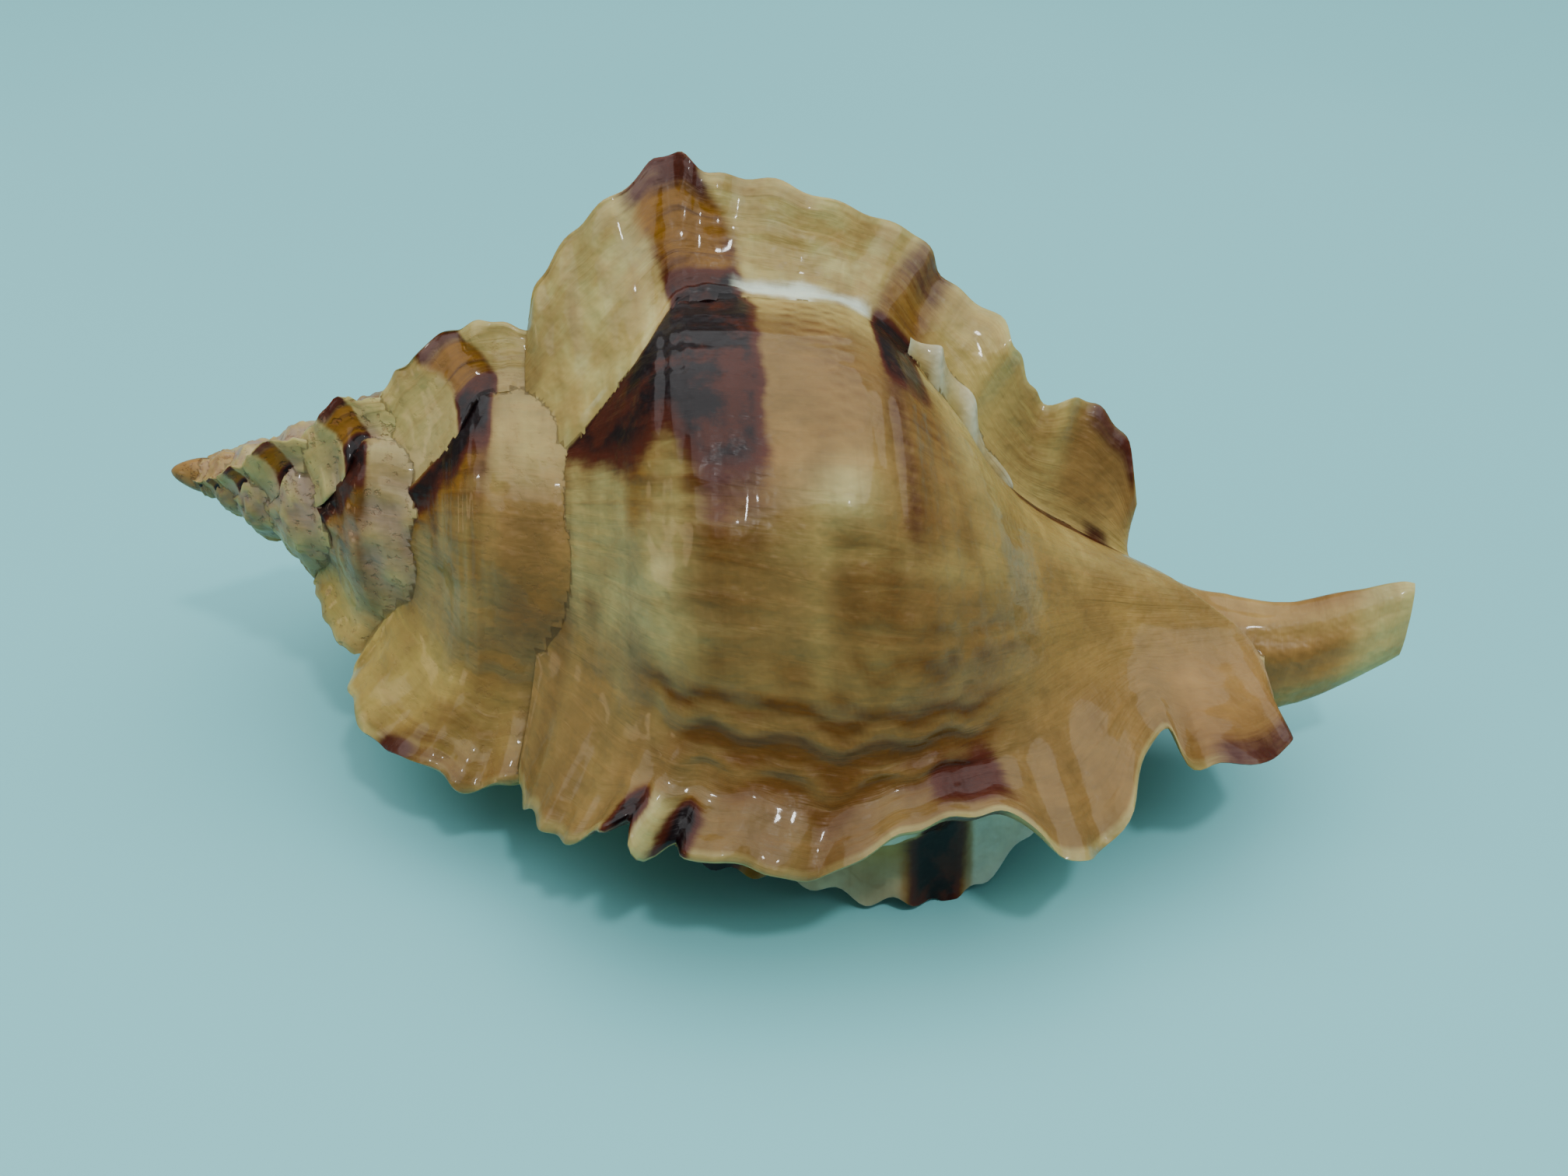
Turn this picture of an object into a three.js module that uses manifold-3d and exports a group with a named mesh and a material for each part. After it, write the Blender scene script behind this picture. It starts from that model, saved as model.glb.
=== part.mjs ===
import * as THREE from "three";
import { mergeVertices } from "three/addons/utils/BufferGeometryUtils.js";
import Module from "manifold-3d";

// Three-winged murex shell, with its operculum (the horny door of the mouth).
// Millimetres, +Z up. The apex points to -X, the siphonal canal to +X and the outer lip to -Y.
// The shell lies on its mouth, as it was set down.
//
// Shell coordinates: "along" is the distance from the apex along the coiling axis, "radius" the
// distance from that axis, and "angle" turns round it from +Y over +Z. "Growth" is the coiling angle
// in degrees, 0 at the root of the last wing and negative for everything grown earlier.

const WHORL_GROWTH = 1.57; // size of one turn over the turn before
const WING_STEP = 115; // coiling angle between two wings
const WING_COUNT = 20; // wings from the lip up to the apex
const LIP_ROOT_ANGLE = 200; // angle of the last wing's front root
const AXIS_DROP = 4.75; // the coiling axis slopes down toward the canal, in degrees
const REST_ROLL = 2; // roll round X that brings the lip and the lower wing onto the ground
// Free edge of the outer lip at each rib: growth past the last wing, and how far it turns outward.
const LIP = [
  [4, 0], [5, 0.4], [6, 1.0], [7, 1.6], [7.5, 1.9], [7.5, 1.9], [7.5, 1.9], [9, 2.2],
  [11, 2.8], [12.2, 3.6], [11, 3.2], [8, 1.8], [6, 1.0], [5, 0.4], [4, 0], [3, 0],
];
const LIP_SCALLOP = 0.8; // depth of the lip's scallops, in degrees of growth
const LAST_FULL_WING = 2; // wings 0 to 2 belong to the body whorl
const SECTOR_OVERLAP = 2; // growth by which the solid sectors of the coil reach into each other
const SECTOR_SINK = 0.985; // and the share of the radius left there
const OPERCULUM_THICK = 1.2;
const OPERCULUM_GAP = 0.45; // clearance round the operculum

// Ribs that run from the suture (first) over the shoulder to the canal (last). Each holds the point
// where a wing leaves the whorl, the wing's outer edge on the earlier whorls, on the body whorl and
// on the last wing (along, radius, all at the size of the lip), the backward lean of the wing, and
// how far its front slope spreads over the next stretch of whorl, as a multiple of the plain slope.
const RIBS = [
  { root: [25.1, 10.4], early: [20.8, 15.5], body: [24.8, 15.0], last: [24.4, 17.2], lean: -1, spread: 4.4 },
  { root: [27.5, 12.2], early: [20.6, 19.0], body: [25.4, 17.6], last: [25.2, 19.4], lean: -2, spread: 3.9 },
  { root: [30.0, 14.4], early: [22.6, 22.0], body: [27.6, 21.2], last: [26.8, 21.4], lean: -6, spread: 3.1 },
  { root: [32.3, 17.0], early: [26.6, 25.4], body: [30.6, 24.2], last: [28.9, 22.6], lean: -10, spread: 2.4 },
  { root: [34.5, 18.2], early: [31.0, 27.0], body: [33.4, 25.8], last: [31.4, 24.0], lean: -13, spread: 1.25 },
  { root: [37.5, 18.7], early: [35.8, 27.4], body: [36.6, 25.2], last: [35.0, 24.0], lean: -14, spread: 1 },
  { root: [41.3, 18.9], early: [41.2, 26.0], body: [41.2, 25.0], last: [39.0, 24.4], lean: -12.5, spread: 1 },
  { root: [45.0, 18.9], early: [46.2, 23.6], body: [46.2, 23.8], last: [43.2, 23.4], lean: -15.5, spread: 1 },
  { root: [48.0, 17.8], early: [50.2, 22.6], body: [50.2, 22.6], last: [47.2, 21.4], lean: -19, spread: 1 },
  { root: [50.5, 15.8], early: [52.8, 19.8], body: [52.8, 19.8], last: [51.0, 20.3], lean: -18, spread: 1 },
  { root: [53.5, 12.8], early: [56.5, 17.8], body: [56.5, 17.8], last: [54.8, 21.5], lean: -14, spread: 1 },
  { root: [56.5, 9.2], early: [58.6, 15.0], body: [58.6, 15.0], last: [58.2, 18.8], lean: -14, spread: 1 },
  { root: [60.0, 6.4], early: [60.5, 12.6], body: [60.5, 12.6], last: [60.6, 11.6], lean: -14, spread: 1 },
  { root: [63.5, 4.8], early: [63.8, 13.2], body: [63.8, 13.2], last: [62.9, 14.6], lean: -17, spread: 1 },
  { root: [66.5, 3.6], early: [66.8, 10.7], body: [66.8, 10.7], last: [67.9, 11.2], lean: -15, spread: 1 },
  { root: [68.5, 2.8], early: [68.2, 6.5], body: [68.2, 6.5], last: [68.0, 8.2], lean: -10, spread: 1 },
];
// How tall each wing stands, from the lip up the spire; the list repeats for the smallest ones.
const WING_HEIGHTS = [1, 1, 0.95, 1, 0.45, 0.7, 0.6, 0.45, 0.6, 0.15, 0.65, 0.5, 0.2, 0.6, 0.4];
// One wing in the growth direction: angle before its front root, and share of its height.
const WING_FOLD = [
  [-44, 0],
  [-30, 0.06],
  [-21, 0.22],
  [-16, 0.55],
  [-13.2, 1],
  [-12, 0.985],
  [-10.8, 0.86],
  [-8.4, 0.55],
  [-5.4, 0.26],
  [-2.4, 0.07],
  [0.6, 0],
];
const FOLD_EDGE = -12; // the front slope begins here
const FOLD_LEAN = 12.6; // lean already held in WING_FOLD
const FLUTE_SWING = 1.3; // side-to-side swing of the wing's flutes, in degrees
const FLUTE_RIBS = 2; // ribs in one flute

// Siphonal canal: along, sideways, height from the axis, half width and half thickness.
const CANAL = [
  [38, 0.4, 0.6, 4.0, 4.0],
  [44, 0.2, -0.2, 4.4, 4.4],
  [50, 0, -1.2, 5.2, 5.2],
  [54, -0.2, -1.7, 5.0, 4.8],
  [58, -0.4, -2.3, 4.3, 3.9],
  [62, -0.7, -2.9, 3.9, 3.3],
  [66, -1.2, -3.0, 3.6, 2.8],
  [69.5, -1.8, -2.2, 3.4, 2.3],
  [72.5, -2.0, -0.6, 3.2, 1.8],
  [75.2, -2.1, 1.4, 2.7, 1.1],
  [76.3, -2.2, 2.1, 2.3, 0.5],
];
const CANAL_TILT = 24; // the flattened canal leans toward the lip side

// Hollow of the last whorl, inside the coil: growth, and size against the mouth.
const HOLLOW = [
  [-150, 0.35],
  [-140, 0.8],
  [-120, 0.95],
  [-90, 1],
  [-60, 1],
  [-35, 1],
  [-12, 1],
];
const MOUTH_ALONG = 42; // centre of the mouth, along the axis
const MOUTH_RADIUS = 10.9; // and out from it
const MOUTH_HALF_LENGTH = 10.2;
const MOUTH_HALF_WIDTH = 5.8;
const MOUTH_SKEW = 0.27; // the mouth's spire end lies farther out
// The mouth's way down to the ground: sideways, height, and how much it widens.
const MOUTH_WAY = [
  [-10.4, -3.6, 1.0],
  [-10.2, -6.2, 1.06],
  [-10.0, -8.6, 1.18],
  [-9.8, -10.6, 1.3],
  [-9.6, -22.0, 1.4],
];
const OPERCULUM_PLACE = [-10.35, -4.0, 1.0];

const degrees = Math.PI / 180;

// Smooth curve through a list of equal-length number lists, at a fractional position.
function curveAt(list, position) {
  const last = list.length - 1;
  const at = Math.min(Math.max(position, 0), last);
  const start = Math.min(Math.floor(at), last - 1);
  const f = at - start;
  const pick = (i) => list[Math.min(Math.max(i, 0), last)];
  const [a, b, c, d] = [pick(start - 1), pick(start), pick(start + 1), pick(start + 2)];
  return b.map((value, i) => {
    const slope = c[i] - a[i];
    const bend = 2 * a[i] - 5 * value + 4 * c[i] - d[i];
    const twist = 3 * value - a[i] - 3 * c[i] + d[i];
    return 0.5 * (2 * value + slope * f + bend * f * f + twist * f * f * f);
  });
}

function sizeAt(growth) {
  return WHORL_GROWTH ** (growth / 360);
}

// Point from distance along the axis, radius and growth.
function coilPoint(along, radius, growth) {
  const angle = (LIP_ROOT_ANGLE + growth) * degrees;
  return new THREE.Vector3(along, radius * Math.cos(angle), radius * Math.sin(angle));
}

const rootCurve = RIBS.map((rib) => rib.root);
const leanCurve = RIBS.map((rib) => [rib.lean]);
const spreadCurve = RIBS.map((rib) => [rib.spread]);
const edgeCurves = {
  early: RIBS.map((rib) => rib.early),
  body: RIBS.map((rib) => rib.body),
  last: RIBS.map((rib) => rib.last),
};

function wingKind(wing) {
  if (wing === 0) return "last";
  return wing <= LAST_FULL_WING ? "body" : "early";
}

// Growth of one step of a wing's fold, with the front slope spread out toward the suture.
function foldGrowth(wing, rib, before) {
  if (wing === 0 || before <= FOLD_EDGE) return before;
  return FOLD_EDGE + (before - FOLD_EDGE) * curveAt(spreadCurve, rib)[0];
}

// Point on a whorl (share 0) or on one of its wings (share up to 1).
function shellPoint(wing, rib, before, share) {
  const wingGrowth = -wing * WING_STEP;
  const height = share * WING_HEIGHTS[Math.min(wing, WING_HEIGHTS.length - 1)];
  const lean = curveAt(leanCurve, rib)[0] + FOLD_LEAN;
  const flute = FLUTE_SWING * Math.sin((rib * 2 * Math.PI) / FLUTE_RIBS);
  const growth = wingGrowth + before + share * (lean + flute);
  const [rootAlong, rootRadius] = curveAt(rootCurve, rib);
  const [edgeAlong, edgeRadius] = curveAt(edgeCurves[wingKind(wing)], rib);
  const rootSize = sizeAt(growth);
  const edgeSize = sizeAt(wingGrowth);
  const along = THREE.MathUtils.lerp(rootAlong * rootSize, edgeAlong * edgeSize, height);
  const radius = THREE.MathUtils.lerp(rootRadius * rootSize, edgeRadius * edgeSize, height);
  return coilPoint(along, radius, growth);
}

// Closed solid from a row of loops with equal point counts, capped at both ends.
function loftSolid(loops, capStart, capEnd) {
  const count = loops[0].length;
  const points = loops.flat();
  const faces = [];
  for (let row = 0; row + 1 < loops.length; row++) {
    for (let i = 0; i < count; i++) {
      const a = row * count + i;
      const b = row * count + ((i + 1) % count);
      faces.push([a, a + count, b + count], [a, b + count, b]);
    }
  }
  const lastRow = (loops.length - 1) * count;
  points.push(capStart, capEnd);
  for (let i = 0; i < count; i++) {
    const j = (i + 1) % count;
    faces.push([points.length - 2, i, j]);
    faces.push([points.length - 1, lastRow + j, lastRow + i]);
  }
  return toSolid(points, faces);
}

function toGeometry(points, faces) {
  const geometry = new THREE.BufferGeometry();
  const coordinates = points.flatMap((p) => p.toArray());
  geometry.setAttribute("position", new THREE.Float32BufferAttribute(coordinates, 3));
  geometry.setIndex(faces.flat());
  return mergeVertices(geometry, 1e-5);
}

const wasm = await Module();
wasm.setup();

function toSolid(points, faces) {
  const geometry = toGeometry(points, faces);
  const index = Array.from(geometry.index.array);
  const kept = [];
  for (let i = 0; i < index.length; i += 3) {
    const [a, b, c] = index.slice(i, i + 3);
    if (a !== b && b !== c && c !== a) kept.push(a, b, c);
  }
  const mesh = new wasm.Mesh({
    numProp: 3,
    vertProperties: new Float32Array(geometry.attributes.position.array),
    triVerts: new Uint32Array(kept),
  });
  const solid = new wasm.Manifold(mesh);
  if (solid.volume() >= 0) return solid;
  for (let i = 0; i < kept.length; i += 3) [kept[i], kept[i + 1]] = [kept[i + 1], kept[i]];
  return new wasm.Manifold(new wasm.Mesh({ ...mesh, numProp: 3, triVerts: new Uint32Array(kept) }));
}

// The part of the coil from the root of one wing to the root of the next, filled to the axis.
function coilSector(wing) {
  const full = wing <= LAST_FULL_WING;
  const lastRib = full ? RIBS.length - 1 : 9;
  const columns = full ? 30 : wing < 6 ? 14 : 9;
  const fold = WING_FOLD.filter((step, i) => full || i % 2 === 0);
  const foot = WING_FOLD[0][0];
  const tip = WING_FOLD.at(-1)[0];
  const start = (rib) => foldGrowth(wing + 1, rib, tip) - WING_STEP;
  const plainSteps = full ? 5 : 3;
  const steps = [[(rib) => start(rib) - SECTOR_OVERLAP, 0]];
  for (let i = 0; i < plainSteps; i++) {
    steps.push([(rib) => THREE.MathUtils.lerp(start(rib), foot, i / plainSteps), 0]);
  }
  for (const [before, share] of fold) steps.push([(rib) => foldGrowth(wing, rib, before), share]);
  if (wing > 0) steps.push([(rib) => foldGrowth(wing, rib, tip) + SECTOR_OVERLAP, 0]);
  const innerSize = sizeAt(-wing * WING_STEP - WING_STEP / 2);
  const loops = steps.map(([growthAt, share]) => {
    const loop = [];
    for (let c = 0; c <= columns; c++) {
      const rib = (lastRib * c) / columns;
      loop.push(shellPoint(wing, rib, growthAt(rib), share));
    }
    return loop;
  });
  loops[0] = sunk(loops[0]);
  if (wing === 0) {
    for (const part of [0.35, 0.7, 1]) loops.push(lipLoop(part, lastRib, columns));
  } else {
    loops.push(sunk(loops.pop()));
  }
  const innerEnd = RIBS[lastRib].root[0] - 2;
  const capPoint = (loop) => {
    const inner = new THREE.Vector3(((RIBS[0].root[0] + innerEnd) / 2) * innerSize, 0, 0);
    return loop[Math.round(columns * 0.4)].clone().lerp(inner, 0.62);
  };
  const [capStart, capEnd] = [capPoint(loops[0]), capPoint(loops.at(-1))];
  for (const loop of loops) {
    loop.push(new THREE.Vector3(innerEnd * innerSize, 0, 0));
    loop.push(new THREE.Vector3((RIBS[0].root[0] + 2) * innerSize, 0, 0));
  }
  return loftSolid(loops, capStart, capEnd);
}

// The end of a sector that lies inside its neighbour, just under the surface.
function sunk(loop) {
  return loop.map((point) => new THREE.Vector3(point.x, point.y * SECTOR_SINK, point.z * SECTOR_SINK));
}

// The free edge of the outer lip: it flares and ends in scallops.
function lipLoop(part, lastRib, columns) {
  const loop = [];
  for (let c = 0; c <= columns; c++) {
    const rib = (lastRib * c) / columns;
    const scallop = LIP_SCALLOP * Math.sin(rib * Math.PI) * part;
    const [reach, flare] = curveAt(LIP, rib);
    const growth = THREE.MathUtils.lerp(WING_FOLD.at(-1)[0], reach, part) + scallop;
    const [along, radius] = curveAt(rootCurve, rib);
    const size = sizeAt(growth);
    loop.push(coilPoint(along * size, radius * size + flare * part ** 1.6, growth));
  }
  return loop;
}

function ring(centre, first, second, sides) {
  const loop = [];
  for (let i = 0; i < sides; i++) {
    const turn = (i / sides) * 2 * Math.PI;
    const point = centre.clone().addScaledVector(first, Math.cos(turn));
    loop.push(point.addScaledVector(second, Math.sin(turn)));
  }
  return loop;
}

function canalSolid() {
  const across = new THREE.Vector3(0, Math.sin(CANAL_TILT * degrees), Math.cos(CANAL_TILT * degrees));
  const through = new THREE.Vector3(0, -across.z, across.y);
  const loops = [];
  const centres = [];
  const stations = 2 * (CANAL.length - 1);
  for (let i = 0; i <= stations; i++) {
    const [along, side, height, half, thin] = curveAt(CANAL, i / 2);
    const centre = new THREE.Vector3(along, side, height);
    centres.push(centre);
    loops.push(ring(centre, across.clone().multiplyScalar(half), through.clone().multiplyScalar(thin), 18));
  }
  return loftSolid(loops, centres[0], centres.at(-1));
}

function apexSolid() {
  const profile = [[0.05, 0.12], [0.3, 0.4], [0.9, 0.75], [1.8, 1.05], [2.6, 1.0], [3.2, 0.5]];
  const unit = [new THREE.Vector3(0, 1, 0), new THREE.Vector3(0, 0, 1)];
  const loops = profile.map(([along, radius]) => {
    const [first, second] = unit.map((axis) => axis.clone().multiplyScalar(radius));
    return ring(new THREE.Vector3(along, 0, 0), first, second, 10);
  });
  return loftSolid(loops, new THREE.Vector3(0, 0, 0), new THREE.Vector3(3.3, 0, 0));
}

// One outline of the hollow: an oval whose spire end lies farther out.
function hollowRing(centre, outward, size, shrink = 0) {
  const long = new THREE.Vector3(-1, 0, 0).addScaledVector(outward, MOUTH_SKEW).normalize();
  const wide = outward.clone().addScaledVector(long, -outward.dot(long)).normalize();
  return ring(
    centre,
    long.multiplyScalar(MOUTH_HALF_LENGTH * size - shrink),
    wide.multiplyScalar(MOUTH_HALF_WIDTH * size - shrink),
    20,
  );
}

function hollowSolid() {
  const loops = [];
  const centres = [];
  for (const [growth, share] of HOLLOW) {
    const size = sizeAt(growth);
    const centre = coilPoint(MOUTH_ALONG * size, MOUTH_RADIUS * size, growth);
    const outward = coilPoint(0, 1, growth);
    centres.push(centre);
    loops.push(hollowRing(centre, outward, size * share));
  }
  for (const [side, height, widen] of MOUTH_WAY) {
    const centre = new THREE.Vector3(MOUTH_ALONG, side, height);
    centres.push(centre);
    loops.push(hollowRing(centre, new THREE.Vector3(0, -1, 0), widen));
  }
  return loftSolid(loops, centres[0], centres.at(-1));
}

function operculumSolid() {
  const [side, height, widen] = OPERCULUM_PLACE;
  const outward = new THREE.Vector3(0, -1, 0);
  const level = (drop, shrink) => {
    const centre = new THREE.Vector3(MOUTH_ALONG, side, height - drop);
    return hollowRing(centre, outward, widen, OPERCULUM_GAP + shrink);
  };
  const loops = [level(0, 0.7), level(0.3, 0.2), level(0.7, 0.2), level(OPERCULUM_THICK, 1.2)];
  const top = new THREE.Vector3(MOUTH_ALONG, side, height);
  const under = new THREE.Vector3(MOUTH_ALONG, side, height - OPERCULUM_THICK);
  return loftSolid(loops, top, under);
}

function toMesh(name, solid, material) {
  const { vertProperties, triVerts } = solid.getMesh();
  const geometry = new THREE.BufferGeometry();
  geometry.setAttribute("position", new THREE.BufferAttribute(new Float32Array(vertProperties), 3));
  geometry.setIndex(new THREE.BufferAttribute(new Uint32Array(triVerts), 1));
  geometry.computeVertexNormals();
  const mesh = new THREE.Mesh(geometry, material);
  mesh.name = name;
  return mesh;
}

let coil = apexSolid();
for (let wing = WING_COUNT - 1; wing >= 0; wing--) coil = coil.add(coilSector(wing));
const joined = coil.subtract(hollowSolid()).add(canalSolid());
// Pockets shut between two whorls are filled: only the outer skin is kept.
const shellSolid = joined.decompose().reduce((a, b) => (b.volume() > a.volume() ? b : a));

const shellMaterial = new THREE.MeshStandardMaterial({ color: 0xd9bd8a, roughness: 0.35, metalness: 0 });
const operculumMaterial = new THREE.MeshStandardMaterial({ color: 0x3a1a10, roughness: 0.5, metalness: 0 });

const tilted = new THREE.Group();
tilted.add(toMesh("shell", shellSolid, shellMaterial));
tilted.add(toMesh("operculum", operculumSolid(), operculumMaterial));
tilted.rotation.set(REST_ROLL * degrees, AXIS_DROP * degrees, 0);
tilted.updateMatrixWorld(true);

const group = new THREE.Group();
group.add(tilted);
const bounds = new THREE.Box3().setFromObject(tilted, true);
const centre = bounds.getCenter(new THREE.Vector3());
tilted.position.set(-centre.x, -centre.y, -bounds.min.z);

export default group;
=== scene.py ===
import math

import bpy
import numpy as np
from mathutils import Matrix, Vector
from mathutils.kdtree import KDTree


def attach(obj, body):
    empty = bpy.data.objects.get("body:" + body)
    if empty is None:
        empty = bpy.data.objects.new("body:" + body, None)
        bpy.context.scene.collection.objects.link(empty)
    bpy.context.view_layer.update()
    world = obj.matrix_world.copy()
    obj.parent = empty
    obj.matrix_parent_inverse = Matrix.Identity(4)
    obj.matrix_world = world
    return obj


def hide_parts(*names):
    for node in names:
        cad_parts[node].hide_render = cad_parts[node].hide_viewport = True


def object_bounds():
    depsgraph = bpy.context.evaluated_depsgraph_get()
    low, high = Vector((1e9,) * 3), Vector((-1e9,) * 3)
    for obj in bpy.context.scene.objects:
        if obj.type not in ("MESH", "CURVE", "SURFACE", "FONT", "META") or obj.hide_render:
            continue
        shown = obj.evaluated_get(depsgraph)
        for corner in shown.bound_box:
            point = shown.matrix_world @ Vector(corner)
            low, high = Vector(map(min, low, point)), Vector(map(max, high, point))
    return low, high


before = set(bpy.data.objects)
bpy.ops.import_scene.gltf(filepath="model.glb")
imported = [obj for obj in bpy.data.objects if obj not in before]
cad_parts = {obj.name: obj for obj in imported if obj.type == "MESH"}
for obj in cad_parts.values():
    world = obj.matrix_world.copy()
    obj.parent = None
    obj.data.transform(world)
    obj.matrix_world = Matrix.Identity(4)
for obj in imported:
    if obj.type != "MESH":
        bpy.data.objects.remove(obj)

# Looks of the murex shell. The shell is built again on the CAD model's own growth rules, with many
# more rows and columns, and gets its relief and its colours from the same growth coordinates:
# rib (0 at the suture to 15 at the canal), growth or "before" (degrees before a wing's front root),
# share (0 on the whorl to 1 at a wing's edge), and front (1 on the side of a wing that faces the
# lip). "Along" is the distance from the apex along the coiling axis, "radius" the distance from that
# axis. Lengths are millimetres until the mesh is made.

cad_low, cad_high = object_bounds()

# The coil, as in the CAD model.
WHORL_GROWTH = 1.57  # size of one turn over the turn before
WING_STEP = 115  # coiling angle between two wings
WING_COUNT = 20  # wings from the lip up to the apex
LIP_ROOT_ANGLE = 200  # angle of the last wing's front root
AXIS_DROP = 4.75  # the coiling axis slopes down toward the canal, in degrees
REST_ROLL = 2  # roll round X that brings the lip and the lower wing onto the ground
LAST_FULL_WING = 2  # wings 0 to 2 belong to the body whorl
LAST_EARLY_RIB = 9  # earlier whorls are hidden by the next one beyond this rib
SECTOR_OVERLAP = 2  # growth by which the solid sectors of the coil reach into each other
SECTOR_SINK = 0.985  # and the share of the radius left there
# Each rib: root, early edge, body edge and last edge (along, radius), lean, spread.
RIBS = np.array([
    [25.1, 10.4, 20.8, 15.5, 24.8, 15.0, 24.4, 17.2, -1, 4.4],
    [27.5, 12.2, 20.6, 19.0, 25.4, 17.6, 25.2, 19.4, -2, 3.9],
    [30.0, 14.4, 22.6, 22.0, 27.6, 21.2, 26.8, 21.4, -6, 3.1],
    [32.3, 17.0, 26.6, 25.4, 30.6, 24.2, 28.9, 22.6, -10, 2.4],
    [34.5, 18.2, 31.0, 27.0, 33.4, 25.8, 31.4, 24.0, -13, 1.25],
    [37.5, 18.7, 35.8, 27.4, 36.6, 25.2, 35.0, 24.0, -14, 1],
    [41.3, 18.9, 41.2, 26.0, 41.2, 25.0, 39.0, 24.4, -12.5, 1],
    [45.0, 18.9, 46.2, 23.6, 46.2, 23.8, 43.2, 23.4, -15.5, 1],
    [48.0, 17.8, 50.2, 22.6, 50.2, 22.6, 47.2, 21.4, -19, 1],
    [50.5, 15.8, 52.8, 19.8, 52.8, 19.8, 51.0, 20.3, -18, 1],
    [53.5, 12.8, 56.5, 17.8, 56.5, 17.8, 54.8, 21.5, -14, 1],
    [56.5, 9.2, 58.6, 15.0, 58.6, 15.0, 58.2, 18.8, -14, 1],
    [60.0, 6.4, 60.5, 12.6, 60.5, 12.6, 60.6, 11.6, -14, 1],
    [63.5, 4.8, 63.8, 13.2, 63.8, 13.2, 62.9, 14.6, -17, 1],
    [66.5, 3.6, 66.8, 10.7, 66.8, 10.7, 67.9, 11.2, -15, 1],
    [68.5, 2.8, 68.2, 6.5, 68.2, 6.5, 68.0, 8.2, -10, 1],
])
ALONG, RADIUS, EARLY_EDGE, BODY_EDGE, LAST_EDGE, LEAN, SPREAD = 0, 1, 2, 4, 6, 8, 9  # columns of RIBS
# Free edge of the outer lip at each rib: growth past the last wing, and how far it turns outward.
LIP = np.array([
    [4, 0], [5, 0.4], [6, 1.0], [7, 1.6], [7.5, 1.9], [7.5, 1.9], [7.5, 1.9], [9, 2.2],
    [11, 2.8], [12.2, 3.6], [11, 3.2], [8, 1.8], [6, 1.0], [5, 0.4], [4, 0], [3, 0],
])
LIP_SCALLOP = 0.8  # depth of the lip's scallops, in degrees of growth
LIP_ROWS = 12
SUTURE_TUCK = 0.07  # share of the radius by which a whorl rounds down into the suture
WING_HEIGHTS = [1, 1, 0.95, 1, 0.45, 0.7, 0.6, 0.45, 0.6, 0.15, 0.65, 0.5, 0.2, 0.6, 0.4]
# One wing in the growth direction: angle before its front root, and share of its height.
WING_FOLD = np.array([
    [-44, 0], [-30, 0.06], [-21, 0.22], [-16, 0.55], [-13.2, 1], [-12, 0.985],
    [-10.8, 0.86], [-8.4, 0.55], [-5.4, 0.26], [-2.4, 0.07], [0.6, 0],
])
FOLD_ROWS = [6, 9, 16, 20, 5, 8, 14, 14, 10, 9]  # rows in each step of the fold, at full detail
FOLD_PEAK = 4.4  # position of the wing's edge in WING_FOLD
FOLD_EDGE = -12  # the front slope begins here
FOLD_LEAN = 12.6  # lean already held in WING_FOLD
FLUTE_SWING = 1.3  # side-to-side swing of the wing's flutes, in degrees
SCALLOPS = 1.2  # small scallops of every free edge, in waves to a rib
WHORL_ROWS = 58  # rows between two wings, at full detail
# Rows (as a share of full detail) and columns of the sectors from the lip up, then of the small ones.
DETAIL = [(0.82, 160), (0.78, 145), (0.6, 110), (0.75, 120), (0.6, 90), (0.45, 65)]
SMALL_DETAIL = (0.35, 50)  # up to LAST_SMALL_WING
LAST_SMALL_WING = 8
TINY_DETAIL = (0.22, 28)

# Siphonal canal: along, sideways, height from the axis, half width and half thickness.
CANAL = np.array([
    [38, 0.4, 0.6, 4.0, 4.0], [44, 0.2, -0.2, 4.4, 4.4], [50, 0, -1.2, 5.2, 5.2],
    [54, -0.2, -1.7, 5.0, 4.8], [58, -0.4, -2.3, 4.3, 3.9], [62, -0.7, -2.9, 3.9, 3.3],
    [66, -1.2, -3.0, 3.6, 2.8], [69.5, -1.8, -2.2, 3.4, 2.3], [72.5, -2.0, -0.6, 3.2, 1.8],
    [75.2, -2.1, 1.4, 2.7, 1.1], [76.3, -2.2, 2.1, 2.3, 0.5],
])
CANAL_TILT = 24  # the flattened canal leans toward the lip side
# Profile of the apex cap: along, radius.
APEX = [(0.05, 0.12), (0.3, 0.4), (0.9, 0.75), (1.8, 1.05), (2.6, 1.0), (3.2, 0.5)]
# Hollow of the last whorl, inside the coil: growth, and size against the mouth.
HOLLOW = [(-150, 0.35), (-140, 0.8), (-120, 0.95), (-90, 1), (-60, 1), (-35, 1), (-12, 1)]
MOUTH_ALONG = 42
MOUTH_RADIUS = 10.9
MOUTH_HALF_LENGTH = 10.2
MOUTH_HALF_WIDTH = 5.8
MOUTH_SKEW = 0.27  # the mouth's spire end lies farther out
# The mouth's way down to the ground: sideways, height, and how much it widens.
MOUTH_WAY = [
    (-10.4, -3.6, 1.0), (-10.2, -6.2, 1.06), (-10.0, -8.6, 1.18), (-9.8, -10.6, 1.3),
    (-9.6, -22.0, 1.4),
]
OPERCULUM_PLACE = (-10.35, -4.0, 1.0)
OPERCULUM_THICK = 1.2
OPERCULUM_GAP = 0.45  # clearance round the operculum
NUCLEUS_SHIFT = (3.5, -0.6)  # where the operculum's growth began: along and sideways from its middle

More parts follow.
